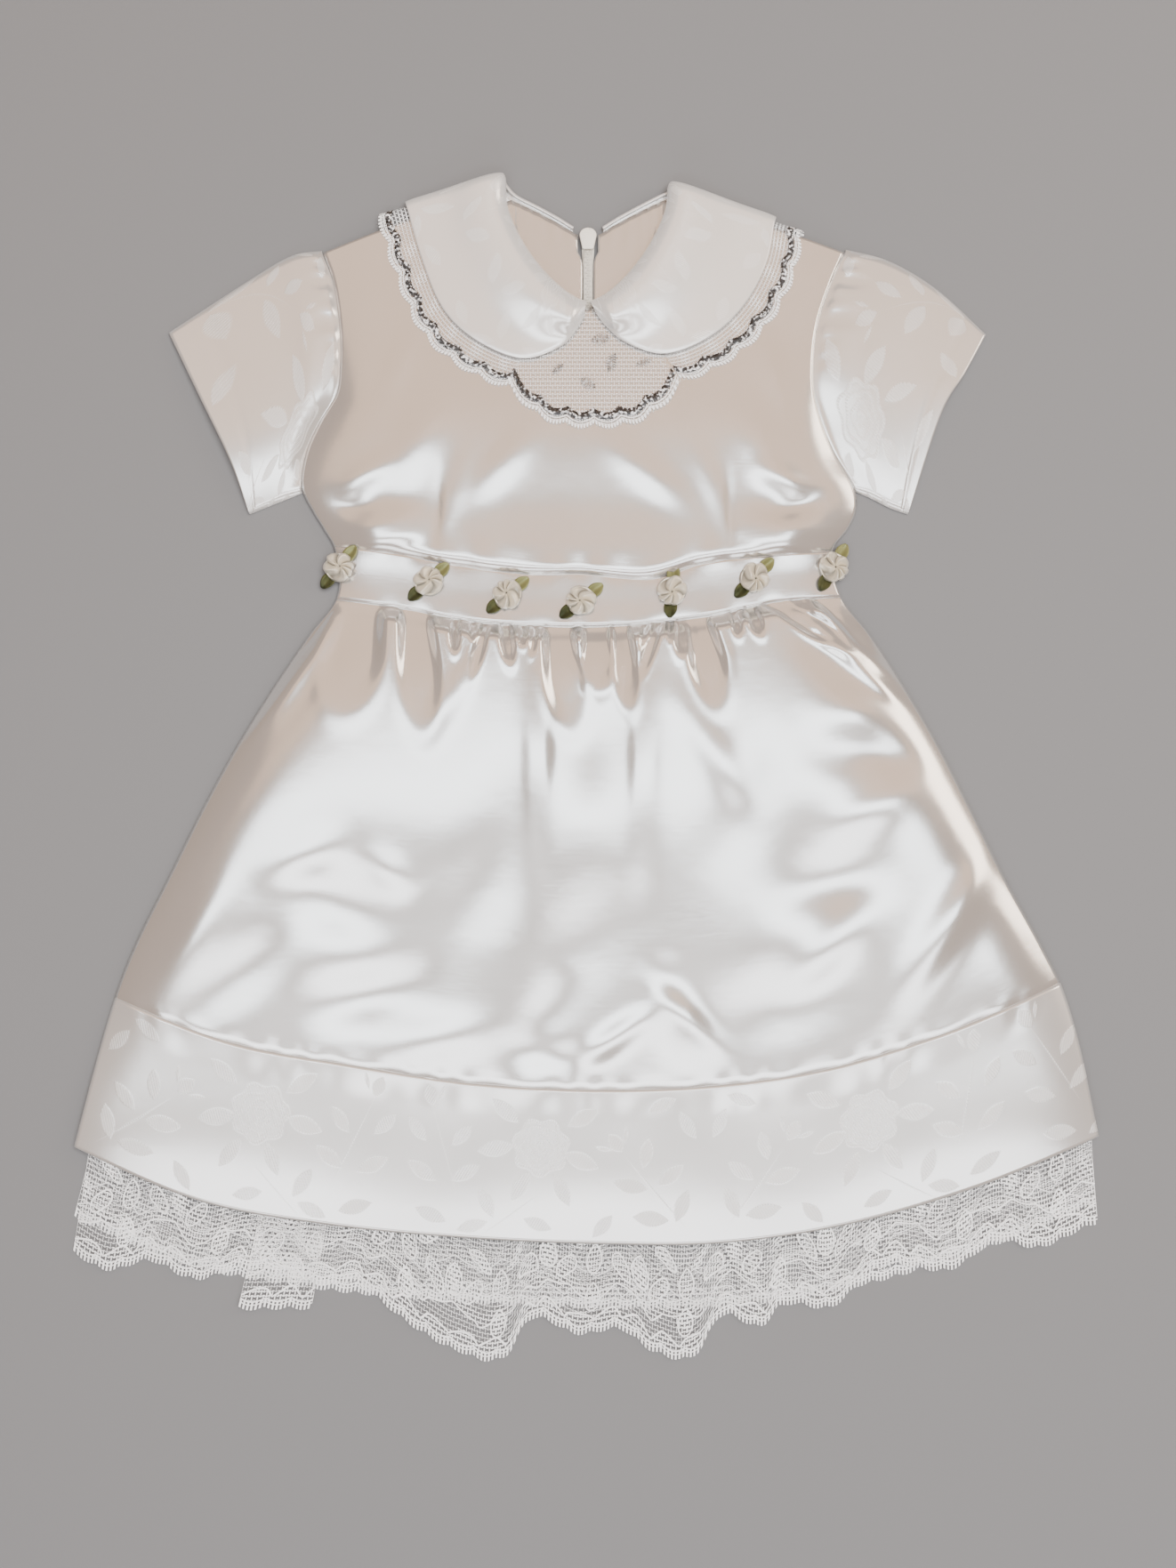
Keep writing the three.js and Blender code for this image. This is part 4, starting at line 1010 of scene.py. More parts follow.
def finish_named(name):
    """A finish of the gown, made when it is first asked for."""
    colours = bpy.context.scene.gown_colours
    # Rose ribbon: the rose colour darkened to painted shade in the creases between its pleats, and its own
    # colour elsewhere
    rose_shaded_and_lit = (solid(colours.rose, 0.3), solid(colours.rose))
    # Leaf ribbon: painted shade in the darker green on the lower leaf, rising to the lighter green on the
    # upper leaf
    leaf_shaded_and_lit = (solid(colours.leaf_dark), solid(colours.leaf_light))
    makers = {
        "gown_satin": satin_finish,
        "gown_jacquard": lambda: jacquard_finish("gown_jacquard", 1.0, 0.72),
        "gown_collar": lambda: jacquard_finish("gown_collar", 0.5, 0.5),
        "gown_lace": lace_finish,
        "gown_silver": silver_finish,
        "gown_zip": zip_finish,
        "gown_enamel": enamel_finish,
        "gown_rose": lambda: ribbon_finish("gown_rose", *rose_shaded_and_lit, pleat_shade),
        "gown_leaf": lambda: ribbon_finish("gown_leaf", *leaf_shaded_and_lit, leaf_shade),
    }
    return bpy.data.materials.get(name) or makers[name]()


def finish_piece(mesh, name, finishes, slot, nodes=(), body="gown"):
    """The piece of a finished mesh, riding on its body and standing for its nodes."""
    data = bpy.data.meshes.new(name)
    mesh.to_mesh(data)
    mesh.free()
    data.shade_smooth()
    for finish in finishes:
        data.materials.append(finish_named(finish))
    piece = bpy.data.objects.new(name, data)
    bpy.context.scene.collection.objects.link(piece)
    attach(piece, body)
    if nodes:
        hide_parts(*nodes)
    return piece


def thicken(piece, wall):
    """A wall of cloth round the piece's middle surface."""
    wall_maker = piece.modifiers.new("Cloth wall", "SOLIDIFY")
    wall_maker.thickness = wall
    wall_maker.offset = 0
    return piece


def soften(piece, levels):
    """A smooth surface through the piece's shaped grid."""
    smoother = piece.modifiers.new("Soft form", "SUBSURF")
    smoother.levels = levels
    smoother.render_levels = levels
    smoother.boundary_smooth = "PRESERVE_CORNERS"


def shaped_grid(columns, rows, place, cut, mesh=None):
    """A grid of cloth with its points from place(across, down), and a UV map of its cut in metres."""
    mesh = mesh or bmesh.new()
    uv = mesh.loops.layers.uv.get("cloth") or mesh.loops.layers.uv.new("cloth")
    grid = bmesh.ops.create_grid(mesh, x_segments=columns, y_segments=rows, size=0.5, calc_uvs=True)
    made = grid["verts"]
    for face in {face for vert in made for face in vert.link_faces}:
        for loop in face.loops:
            across, down = loop.vert.co.x + 0.5, 0.5 - loop.vert.co.y
            loop[uv].uv = (across * cut[0], (1 - down) * cut[1])
    for vert in made:
        vert.co = Vector(place(vert.co.x + 0.5, 0.5 - vert.co.y)) * MM
    return mesh


def puckered(x, row):
    """The height of a seam's puckers."""
    return row.height * math.sin(x / row.wave + row.sway * math.sin(x / row.slow))


def panel_place(panel, height, spread=1.0):
    """Where a panel's points lie: spread above 1 draws its rows up to its upper seam."""

    def place(across, down):
        down = down**spread
        flat = panel.at(across, down)
        return (flat.x, flat.y, height(flat.x, flat.y, across, down))

    return place


def cloth_piece(node, place, columns, rows, cut, finish="gown_satin", slot="satin", turned=False):
    """A panel of cloth on its node's form, as a wall of satin, turned over where it is mirrored."""
    mesh = shaped_grid(columns, rows, place, cut)
    if turned:
        bmesh.ops.reverse_faces(mesh, faces=mesh.faces)
    piece = finish_piece(mesh, f"{node}_cloth", [finish], slot, [node])
    return thicken(piece, bpy.context.scene.gown_sizes.satin_wall)


# Bodice


def bodice_front_panel():
    tip = {side: Vector((sides[side](SHOULDER_TIP_Y), SHOULDER_TIP_Y)) for side in sides}

    def top(across):
        share = min(max((across - SHOULDER_SHARE) / (1 - 2 * SHOULDER_SHARE), 0), 1)
        edge = neck_point(mix(-NECK_TURN, NECK_TURN, share), BODICE_NECK_INSET)
        edge.y -= SHOULDER_INSET * smoothstep(abs(2 * share - 1), 0.8, 1)
        if share == 0:
            return tip["left"].lerp(edge, across / SHOULDER_SHARE)
        if share == 1:
            return tip["right"].lerp(edge, (1 - across) / SHOULDER_SHARE)
        return edge

    bottom = cross_line("waist_top", -SEAM_TUCK.reach)
    left = side_edge(left_side, SHOULDER_TIP_Y, bottom(0).y)
    right = side_edge(right_side, SHOULDER_TIP_Y, bottom(1).y)
    return Panel(top, bottom, left, right)


def bodice_front_height(x, y, across, down):
    settled = 1 - COLLAR_COVER.pressed * smoothstep(y, COLLAR_COVER.start_y, COLLAR_COVER.full_y)
    ripple = puckered(x, WAIST_PUCKER) * smoothstep(down, 0.9, 1)
    puff = BODICE_PUFF.height - fullness(y)
    puff *= 1 - smoothstep(y, BODICE_PUFF.foot_y, BODICE_PUFF.fade_y)
    puff *= 1 - max(0, 1 - (1 - down) * BODICE_LENGTH / BODICE_PUFF.full) ** 2
    detail = bodice_creases(x, y) * settled + waist_darts(x, y) + ripple + puff
    return front_middle(x, y) + detail * side_share(x, y) - seam_tuck(down, BODICE_LENGTH, top=False)


def bodice_back_panel(side):
    mark = marks[side]
    rows = (BACK_NECK_START, *COLLAR_BACK)
    neck_y = reader(rows, "step", "neck_y")
    neck_x = reader(rows, "step", "neck_x")
    last = COLLAR_BACK[-1].step
    neck_share = 1 - 2 * SHOULDER_SHARE
    corner = Vector((mark * neck_x(0), neck_y(0) - BACK_NECK_DROP))
    tip = Vector((sides[side](SHOULDER_TIP_Y), SHOULDER_TIP_Y))

    def top(share):
        if share > neck_share:
            return corner.lerp(tip, (share - neck_share) / (1 - neck_share))
        step = last * (1 - share / neck_share)
        return Vector((mark * max(neck_x(step), ZIP_OPENING.slider_half), neck_y(step) - BACK_NECK_DROP))

    waist = cross_line("waist_top", SEAM_GAP / 2)
    bottom = half_back(Panel(waist, waist, waist, waist), side).bottom

    def inner(down):
        y = mix(top(0).y, bottom(0).y, down)
        return Vector((mark * centre_back_half(y), y))

    outer = side_edge(sides[side], SHOULDER_TIP_Y, waist(0 if side == "left" else 1).y)
    return Panel(top, bottom, inner, outer)


def back_height(x, y, across, down):
    gathered = puckered(x, NECK_PUCKER) * smoothstep(y, NECK_PUCKER_RISE.start_y, NECK_PUCKER_RISE.full_y)
    return back_middle(x, y) + back_creases(x, y) * side_share(x, y) + gathered


def back_half(name, panel, side, columns, rows, cut):
    """One satin half of the back, faced the right way up on either side."""
    place = panel_place(panel, back_height)
    return cloth_piece(f"{name}_{side}", place, columns, rows, cut, turned=side == "left")


class GOWN_OT_bodice(bpy.types.Operator):
    """Front of the bodice with its darts and chest folds, and the two halves of its back"""

    bl_idname = "gown.bodice"
    bl_label = "Bodice"

    def execute(self, context):
        cut = (0.272, 0.182)
        place = panel_place(bodice_front_panel(), bodice_front_height)
        front = cloth_piece("bodice_front", place, columns=150, rows=110, cut=cut)
        half_cut = (0.138, 0.172)
        for side in sides:
            half = back_half("bodice_back", bodice_back_panel(side), side, columns=50, rows=60, cut=half_cut)
        return {"FINISHED"}


# Sleeves


def sleeve_place(side):
    """A flattened tube from the armhole to the cuff; across runs round it from the cap and back."""
    outer = sides[side]
    mark = marks[side]
    edges = SLEEVE_EDGES[side]

    def armhole(share):
        y = mix(SHOULDER_TIP_Y, SLEEVE.armpit_y, share)
        return Vector((outer(y) - mark * SLEEVE.tuck * math.sin(math.pi * share), y))

    panel = Panel(armhole, spline(edges.cuff), spline(edges.cap), spline(edges.under))

    def place(around, along):
        angle = 2 * math.pi * around
        across = (1 - math.cos(angle)) / 2
        flat = panel.at(across, along)
        low = back_middle(flat.x, flat.y)
        if math.sin(angle) <= 0:
            return (flat.x, flat.y, low)
        bulge = math.sin(math.pi * across)
        puff = SLEEVE.fullness * bulge * smoothstep(along, 0.03, 0.4) * (1 - 0.3 * along)
        ridge = SLEEVE.ridge * smoothstep(along, 0.03, 0.12) * (1 - smoothstep(along, 0.15, 0.6))
        ridge *= 1 - smoothstep(across, 0.45, 0.75)
        deepest = 0
        for row in CAP_GATHERS:
            reach = cup_reach((across - row.across) / (row.width / 2), along / row.length)
            deepest = max(deepest, cup_fill(reach) * ridge * (1 - along / row.length))
        wave = math.sin(SLEEVE_WAVE.across * across + SLEEVE_WAVE.along * along + SLEEVE_WAVE.start)
        soft = SLEEVE.soft * wave * bulge * (1 - along * 0.5)
        hem = SLEEVE_HEM.depth * math.exp(-(((along - SLEEVE_HEM.place) / SLEEVE_HEM.width) ** 2))
        rise = LAYER_STEP + puff + (ridge - deepest + soft) * smoothstep(along, 0.03, 0.1) - hem
        sewn = mix(LAYER_STEP / 2, rise, smoothstep(along, 0, 0.05))
        return (flat.x, flat.y, low + sewn * smoothstep(math.sin(angle), 0, 0.35))

    return place


class GOWN_OT_sleeves(bpy.types.Operator):
    """Two short jacquard sleeves, gathered at the cap and hemmed at the cuff"""

    bl_idname = "gown.sleeves"
    bl_label = "Sleeves"

    def execute(self, context):
        cut = (0.25, 0.075)
        for side in sides:
            node = f"sleeve_{side}"
            mesh = shaped_grid(columns=160, rows=48, place=sleeve_place(side), cut=cut)
            bmesh.ops.remove_doubles(mesh, verts=mesh.verts, dist=0.00002)
            bmesh.ops.recalc_face_normals(mesh, faces=mesh.faces)
            sleeve = finish_piece(mesh, f"{node}_cloth", ["gown_jacquard"], "jacquard", [node])
            thicken(sleeve, context.scene.gown_sizes.satin_wall)
        return {"FINISHED"}


# Collar and its lace


def collar_sections(side):
    """Lines across a collar half: on the front, at the shoulder fold, and under the back."""
    mark = marks[side]
    rows = COLLAR_FRONT[side]
    angle, edge_x, edge_y = (reader(rows, "step", column) for column in ("angle", "edge_x", "edge_y"))
    last = rows[-1].step

    def front(step):
        return neck_point(mark * angle(step)), Vector((edge_x(step), edge_y(step)))

    inner, outer = front(last)
    start = CollarBack(0, mark * inner.x, inner.y, mark * outer.x, outer.y)
    columns = ("neck_x", "neck_y", "edge_x", "edge_y")
    neck_x, neck_y, back_x, back_y = (reader((start, *COLLAR_BACK), "step", column) for column in columns)

    def back(step):
        return Vector((mark * neck_x(step), neck_y(step))), Vector((mark * back_x(step), back_y(step)))

    shoulder = (outer - inner).normalized()
    outward = Vector((-mark * shoulder.y, mark * shoulder.x))
    last_back = COLLAR_BACK[-1].step
    return SimpleNamespace(front=front, back=back, outward=outward, last=last, last_back=last_back)


def wrap_row(sections, steps, reach, row):
    """One row of a strip that runs on the front, round the shoulder and under the back."""

    def on_section(section):
        inner, outer = section
        width = (outer - inner).length
        return inner.lerp(outer, row.distance(width) / width), width

    points = []
    for step in steps.front:
        flat, width = on_section(sections.front(step))
        points.append(Vector((flat.x, flat.y, row.front_height(flat.x, flat.y, width))))
    top = points[-1]
    start, _ = on_section(sections.back(0))
    half_height = (top.z - row.back_height(start.x, start.y)) / 2
    turn_reach = reach * min(1, half_height / reach)
    for share in steps.fold:
        angle = math.pi * share
        flat = top.xy + sections.outward * (turn_reach * math.sin(angle))
        points.append(Vector((flat.x, flat.y, top.z - half_height * (1 - math.cos(angle)))))
    for step in steps.back:
        flat, _ = on_section(sections.back(step))
        points.append(Vector((flat.x, flat.y, row.back_height(flat.x, flat.y))))
    return points


def wrap_steps(sections, first, front, fold, back):
    """Where a strip has its sections, as counts on the front, in the shoulder fold and under the back."""
    return SimpleNamespace(
        front=[mix(first, sections.last, i / front) for i in range(front + 1)],
        fold=[(i + 1) / (fold + 1) for i in range(fold)],
        back=[sections.last_back * i / back for i in range(back + 1)],
    )


def collar_rows():
    """Rows of the collar from its neck seam over the roll to its outer edge."""

    def share(width):
        return min(1, width / COLLAR_ROLL_WIDTH)

    def row(distance, front_rise, back_rise=0):
        return SimpleNamespace(
            distance=distance,
            front_height=lambda x, y, width: front_middle(x, y) + COLLAR_LIFT + front_rise * share(width),
            back_height=lambda x, y: COLLAR_WALL / 2 + back_rise,
        )

    def rolled(roll):
        return row(lambda width: roll.inset * share(width), roll.front, roll.back)

    def bowed(bow):
        last_inset = COLLAR_ROLL[-1].inset
        return row(lambda width: mix(last_inset * share(width), width, bow.part), bow.height)

    return [*map(rolled, COLLAR_ROLL), *map(bowed, COLLAR_BOWS)]


class GOWN_OT_collar(bpy.types.Operator):
    """Two collar halves that roll out of the neck and turn over the shoulders"""

    bl_idname = "gown.collar"
    bl_label = "Collar"

    def execute(self, context):
        cut = (0.33, 0.062)
        for side in sides:
            node = f"collar_{side}"
            sections = collar_sections(side)
            steps = wrap_steps(sections, first=0, front=28, fold=5, back=12)
            grid = [wrap_row(sections, steps, COLLAR_FOLD_REACH, row) for row in collar_rows()]
            rows, columns = len(grid) - 1, len(grid[0]) - 1

            def place(across, down):
                return grid[round(down * rows)][round(across * columns)]

            mesh = shaped_grid(columns, rows, place, cut)
            if side == "left":
                bmesh.ops.reverse_faces(mesh, faces=mesh.faces)
            collar = finish_piece(mesh, f"{node}_cloth", ["gown_collar"], "satin", [node])
            soften(collar, levels=2)
            thicken(collar, context.scene.gown_sizes.collar_wall)
        return {"FINISHED"}


class Lace:
    """Lace worked flat, x along its length and y up from its edge, before it is laid in place."""

    def __init__(self):
        self.mesh = bmesh.new()
        self.mesh.loops.layers.uv.new("cloth")

    def net(self, length, depth, pitch, fill):
        """Hexagonal net: fill(x, y) gives a cell's thread width, and None where it is cut off."""
        columns = 2 * round(length / pitch)
        rows = round(depth / (pitch * HEXAGON.row))
        step_x, step_y = length / columns, depth / rows
        sheet = bmesh.new()
        bmesh.ops.create_grid(sheet, x_segments=columns, y_segments=rows, size=0.5)
        spots = {}
        for vert in sheet.verts:
            spots[vert] = (round((vert.co.x + 0.5) * columns), round((vert.co.y + 0.5) * rows))
        uprights = []
        for edge in sheet.edges:
            (i, j), (other_i, other_j) = (spots[vert] for vert in edge.verts)
            if i == other_i and (i + min(j, other_j)) % 2 and 0 < i < columns:
                uprights.append(edge)
        for vert, (i, j) in spots.items():
            lean = HEXAGON.lean * step_y * (1 if (i + j) % 2 else -1)
            vert.co = Vector((i * step_x, j * step_y + lean, 0))
        bmesh.ops.dissolve_edges(sheet, edges=uprights, use_verts=False)
        groups = {}
        for face in sheet.faces:
            middle = face.calc_center_median()
            groups.setdefault(fill(middle.x, middle.y), []).append(face)
        cut_off = groups.pop(None, [])
        for width, cells in groups.items():
            bmesh.ops.inset_individual(sheet, faces=cells, thickness=width, use_even_offset=True)
            cut_off += cells
        bmesh.ops.delete(sheet, geom=cut_off, context="FACES")
        self.take(sheet)

    def take(self, sheet):
        """Adds another mesh to the lace."""
        data = bpy.data.meshes.new("lace part")
        sheet.to_mesh(data)
        sheet.free()
        self.mesh.from_mesh(data)
        bpy.data.meshes.remove(data)

    def thread(self, path, width, lift=0.35, finish=0):
        """A raised thread along a path of flat points."""
        last = len(path) - 1
        strip = bmesh.new()
        bmesh.ops.create_grid(strip, x_segments=last, y_segments=2, size=0.5)
        for vert in strip.verts:
            i = round((vert.co.x + 0.5) * last)
            ahead = path[min(i + 1, last)] - path[max(i - 1, 0)]
            aside = Vector((-ahead.y, ahead.x)).normalized() * (vert.co.y * width)
            flat = path[i] + aside
            vert.co = Vector((flat.x, flat.y, lift * (1 - 1.2 * abs(vert.co.y))))
        for face in strip.faces:
            face.material_index = finish
        self.take(strip)

    def fringe(self, length, edge, pitch, size):
        """The worked edge: a thick line, a ladder of eyelets, a thin line and a fringe of loops."""
        columns = 2 * round(length / pitch)
        heights = [size * height for height in FRINGE.rows]
        strip = bmesh.new()
        bmesh.ops.create_grid(strip, x_segments=columns, y_segments=len(heights) - 1, size=0.5)
        gone = []
        for face in strip.faces:
            middle = face.calc_center_median()
            column = int((middle.x + 0.5) * columns)
            row = int((0.5 - middle.y) * (len(heights) - 1))
            if row in (1, 3) and column % 2:
                gone.append(face)
        bmesh.ops.delete(strip, geom=gone, context="FACES")
        for vert in strip.verts:
            x = (vert.co.x + 0.5) * length
            row = round((0.5 - vert.co.y) * (len(heights) - 1))
            vert.co = Vector((x, edge(x) + heights[row], FRINGE.line_lift if row < 2 else FRINGE.loop_lift))
        self.take(strip)

    def neck_edging(self, length, edge):
        """The scalloped edge of the neck's lace, with metal thread that runs to and fro inside it."""
        self.fringe(length, edge, NECK_EDGING.pitch, NECK_EDGING.size)
        line = path_along(length, NECK_EDGING.step, lambda x: edge(x) + NECK_EDGING.line)
        self.thread(line, NECK_EDGING.thread)
        for phase in (0, math.pi):
            sway = path_along(length, SILVER.step, silver_sway(edge, phase))
            self.thread(sway, SILVER.width, SILVER.lift, finish=1)

    def lay(self, place):
        """Puts every point of the flat lace where it lies, in metres."""
        for vert in self.mesh.verts:
            vert.co = Vector(place(vert.co.x, vert.co.y, vert.co.z)) * MM


def scallops(pitch, depth):
    """A scalloped edge: how far it is drawn in at each point along it."""
    return lambda x: depth * (1 - abs(math.sin(math.pi * x / pitch)))


def path_along(length, step, height):
    """A path of flat points along the lace at a height above its edge."""
    count = max(2, round(length / step))
    return [Vector((length * i / count, height(length * i / count))) for i in range(count + 1)]


def silver_sway(edge, phase):
    return lambda x: edge(x) + SILVER.rise + SILVER.sway * math.sin(SILVER.turns * x + phase)


def leaf_point(x, y, turn, run, aside):
    """A point of a turned leaf, by its places along and beside the leaf's middle line."""
    flat = Vector((run, aside))
    flat.rotate(Matrix.Rotation(math.radians(turn), 2))
    return Vector((x, y)) + flat


def stitched_leaf(x, y, turn, long, wide, count=15):
    """A leaf filled with one thread that runs from side to side."""
    points = []
    for i in range(count + 1):
        run = 2 * i / count - 1
        aside = (1 - run * run) * wide / 2 * (1 if i % 2 else -1)
        points.append(leaf_point(x, y, turn, run * long / 2, aside))
    return points


def ring_path(x, y, turn, long, wide, count):
    """A closed outline of a petal or leaf, pointed at both ends."""
    points = []
    for i in range(count + 1):
        angle = 2 * math.pi * i / count
        run = math.cos(angle) * long / 2
        aside = math.sin(angle) * abs(math.sin(angle)) ** 0.4 * wide / 2
        points.append(leaf_point(x, y, turn, run, aside))
    return points


def grid_reader(grid):
    """A point between the points of a grid, by its shares along the rows and the columns."""
    rows, columns = len(grid) - 1, len(grid[0]) - 1

    def at(across, down):
        column, row = min(max(across, 0), 1) * columns, min(max(down, 0), 1) * rows
        i, j = min(int(column), columns - 1), min(int(row), rows - 1)
        upper = grid[j][i].lerp(grid[j][i + 1], column - i)
        lower = grid[j + 1][i].lerp(grid[j + 1][i + 1], column - i)
        return upper.lerp(lower, row - j)

    return at


def inside_petal(x, y, petal):
    """How deep a point is in a petal: 1 along its middle, 0 on its outline and less outside it."""
    turn = math.radians(petal.turn)
    run = ((x - petal.x) * math.cos(turn) + (y - petal.y) * math.sin(turn)) * 2 / petal.length
    aside = ((y - petal.y) * math.cos(turn) - (x - petal.x) * math.sin(turn)) * 2 / petal.width
    return 1 - run * run - abs(aside)


def collar_net(edge):
    """Thread widths of the collar's sheer net: closer beside the edge and in a leaf over each scallop."""

    def fill(x, y):
        rise = y - edge(x)
        if rise < NECK_NET.cut:
            return None
        if inside_petal(x % COLLAR_LACE.scallop, rise, SCALLOP_LEAF) > 0:
            return NECK_NET.leaf
        return NECK_NET.edge if rise < NECK_NET.edge_rise else NECK_NET.open

    return fill


def collar_lace_mesh(side):
    """Scalloped lace under a collar half, with a silver line inside its edge."""
    sections = collar_sections(side)
    steps = wrap_steps(sections, first=COLLAR_LACE.first_step, front=60, fold=5, back=40)
    outermost = COLLAR_LACE.reach + COLLAR_LACE.scallop_depth
    depth = outermost + COLLAR_LACE.under

    def laid_row(distance):
        row = SimpleNamespace(
            distance=distance,
            front_height=lambda x, y, width: front_middle(x, y) + LACE_LIFT,
            back_height=lambda x, y: COLLAR_WALL + SEAM_GAP + LACE_WALL / 2,
        )
        return wrap_row(sections, steps, LACE_FOLD_REACH, row)

    grid = []
    for j in range(COLLAR_LACE_ROWS + 1):
        drawn_in = depth * j / COLLAR_LACE_ROWS
        grid.append(laid_row(lambda width: width + outermost - drawn_in))
    travelled = [0]
    for a, b in zip(grid[1], grid[1][1:]):
        travelled.append(travelled[-1] + (b - a).length)
    length = travelled[-1]
    at = grid_reader(grid)

    def place(x, y, lift):
        i = min(max(bisect_left(travelled, x) - 1, 0), len(travelled) - 2)
        share = (i + (x - travelled[i]) / max(travelled[i + 1] - travelled[i], 1e-6)) / (len(travelled) - 1)
        point = at(share, y / depth)
        return (point.x, point.y, point.z + lift * (1 if share < COLLAR_LACE_TURN else -1))

    edge = scallops(COLLAR_LACE.scallop, COLLAR_LACE.scallop_depth)
    lace = Lace()
    lace.net(length, depth, NECK_NET.pitch, collar_net(edge))
    lace.neck_edging(length, edge)
    lace.lay(place)
    inner = laid_row(lambda width: COLLAR_LACE.inset)
    columns = len(inner) - 1

    def plain(across, down):
        i = round(across * columns)
        return grid[-1][i].lerp(inner[i], down)

    shaped_grid(columns, 3, plain, (length * MM, 0.03), lace.mesh)
    return lace.mesh


def bib_mesh():
    """Lace bib below the neck, with a silver line and small silver sprays."""

    def top(share):
        return neck_point(mix(-BIB.turn, BIB.turn, share), BIB.inset)

    def bottom(share):
        x = mix(BIB.left_x, BIB.right_x, share)
        return Vector((x, mix(BIB.foot_y, BIB.side_y, abs(2 * share - 1) ** BIB.power)))

    def end(share):
        return lambda down: top(share).lerp(bottom(share), down)

    panel = Panel(top, bottom, end(0), end(1))
    length = BIB_BORDER.length

    def on_bodice(x, y, lift):
        return (x, y, front_middle(x, y) + LACE_LIFT + BIB.lift + lift)

    def place(x, y, lift):
        flat = panel.at(x / length, 1 - y / BIB_BORDER.depth)
        return on_bodice(flat.x, flat.y, lift)

    edge = scallops(length / BIB_BORDER.scallops, BIB_BORDER.scallop_depth)
    width = BIB.right_x - BIB.left_x
    neck_y = top(0.5).y

    def fill(x, y):
        share = x / width
        real_x, real_y = BIB.left_x + x, BIB.foot_y + y
        side = 0 if share < 0.5 else 1
        down = (top(side).y - real_y) / (top(side).y - bottom(side).y)
        beyond = (real_x - mix(top(side).x, bottom(side).x, down)) * (1 if side else -1)
        below = bottom(share).y + edge(share * length) + NECK_NET.cut - real_y
        above = real_y - neck_y - abs(real_x)
        return None if max(beyond, below, above) > 0 else BIB_NET.open

    lace = Lace()
    lace.net(width, top(0).y - BIB.foot_y, BIB_NET.pitch, fill)
    for leaf in SILVER_LEAVES:
        stitches = stitched_leaf(leaf.x - BIB.left_x, leaf.y - BIB.foot_y, leaf.turn, leaf.length, leaf.width)
        lace.thread(stitches, LEAF_THREAD.width, LEAF_THREAD.lift, finish=1)
    lace.lay(lambda x, y, lift: on_bodice(BIB.left_x + x, BIB.foot_y + y, lift))
    border = Lace()
    border.neck_edging(length, edge)
    border.lay(place)
    lace.take(border.mesh)
    return lace.mesh


class GOWN_OT_collar_lace(bpy.types.Operator):
    """Scalloped lace under the collar and the bib at the centre front"""

    bl_idname = "gown.collar_lace"
    bl_label = "Collar lace"

    def execute(self, context):
        finishes = ["gown_lace", "gown_silver"]
        for side in sides:
            mesh = collar_lace_mesh(side)
            node = f"collar_lace_{side}"
            lace = finish_piece(mesh, f"{node}_net", finishes, "lace", [node])
        bib = finish_piece(bib_mesh(), "lace_bib_net", finishes, "lace", ["lace_bib"])
        return {"FINISHED"}


# Waistband, skirt and hem band


def waistband_height(x, y, across, down):
    ripple = puckered(x, BELT_PUCKER) + BELT_WAVE.height * math.sin(x / BELT_WAVE.wave + BELT_WAVE.start)
    edge = (2 * down - 1) ** 4
    crown = BELT_CROWN * (1 - edge)
    return front_middle(x, y) + (crown + ripple * edge) * side_share(x, y)


class GOWN_OT_waistband(bpy.types.Operator):
    """Waistband front and the two halves of its back"""

    bl_idname = "gown.waistband"
    bl_label = "Waistband"

    def execute(self, context):
        panel = band_panel("waist_top", "waist_bottom")
        cut = (0.25, 0.026)
        place = panel_place(panel, waistband_height)
        front = cloth_piece("waistband_front", place, columns=200, rows=16, cut=cut)
        half_cut = (0.122, 0.026)
        for side in sides:
            half = back_half("waistband_back", half_back(panel, side), side, columns=44, rows=8, cut=half_cut)
        return {"FINISHED"}


def cup_reach(aside, along):
    """How far inside a gather's cup a point is: 1 at its middle, 0 on its rim; a cup ends in a round."""
    end_share = max(0, (along - GATHER_CUP.round_from) / (1 - GATHER_CUP.round_from))
    return 1 - math.hypot(aside / mix(GATHER_CUP.mouth, 1, smoothstep(along, 0, 0.5)), end_share)


def cup_fill(reach):
    """How deep a gather's cup is there, as a share: its wall falls from the rim to a level middle."""
    return smoothstep(reach, 0, GATHER_CUP.wall)


def gather_form():
    """What the gathers add to the skirt: a puff below the seam, hollowed out by cups that ramp up to it."""
    seam = cross_line("waist_bottom", 0)
    start, end = seam(0).x, seam(1).x
    cups = []
    for row in GATHERS:
        lean = math.radians(row.lean)
        seam_y = seam((row.x - start) / (end - start)).y
        cups.append((row, seam_y, math.cos(lean), math.sin(lean)))

    def height(x, y):
        if y < SKIRT_PUFF.foot_y:
            return 0
        below = max(0, seam((x - start) / (end - start)).y - y)
        puff = max(0, SKIRT_PUFF.height - fullness(y))
        puff *= smoothstep(below, 0, SKIRT_PUFF.full) * smoothstep(y, SKIRT_PUFF.foot_y, SKIRT_PUFF.fade_y)
        deepest, lip = 0, 0
        for row, seam_y, cos, sin in cups:
            dx, dy = x - row.x, y - seam_y
            along = max(0, (dx * sin - dy * cos) / row.length)
            reach = cup_reach((dx * cos + dy * sin) / (row.width / 2), along)
            deepest = max(deepest, cup_fill(reach) * row.hollow * (1 - along) * (puff + 0.8))
            rim = math.exp(-((reach / GATHER_LIP.width) ** 2)) * smoothstep(along, 0.1, 0.5)
            lip = max(lip, GATHER_LIP.height * row.hollow * rim)
        return puff - deepest + lip

    return height


def seam_tuck(down, length, top=True, bottom=True):
    """How far a panel's edges dip so that they pass under the panels sewn over them."""
    reach = SEAM_TUCK.reach / length
    upper = 1 - smoothstep(down, 0, 2 * reach) if top else 0
    lower = smoothstep(down, 1 - 2 * reach, 1) if bottom else 0
    return SEAM_TUCK.depth * max(upper, lower)


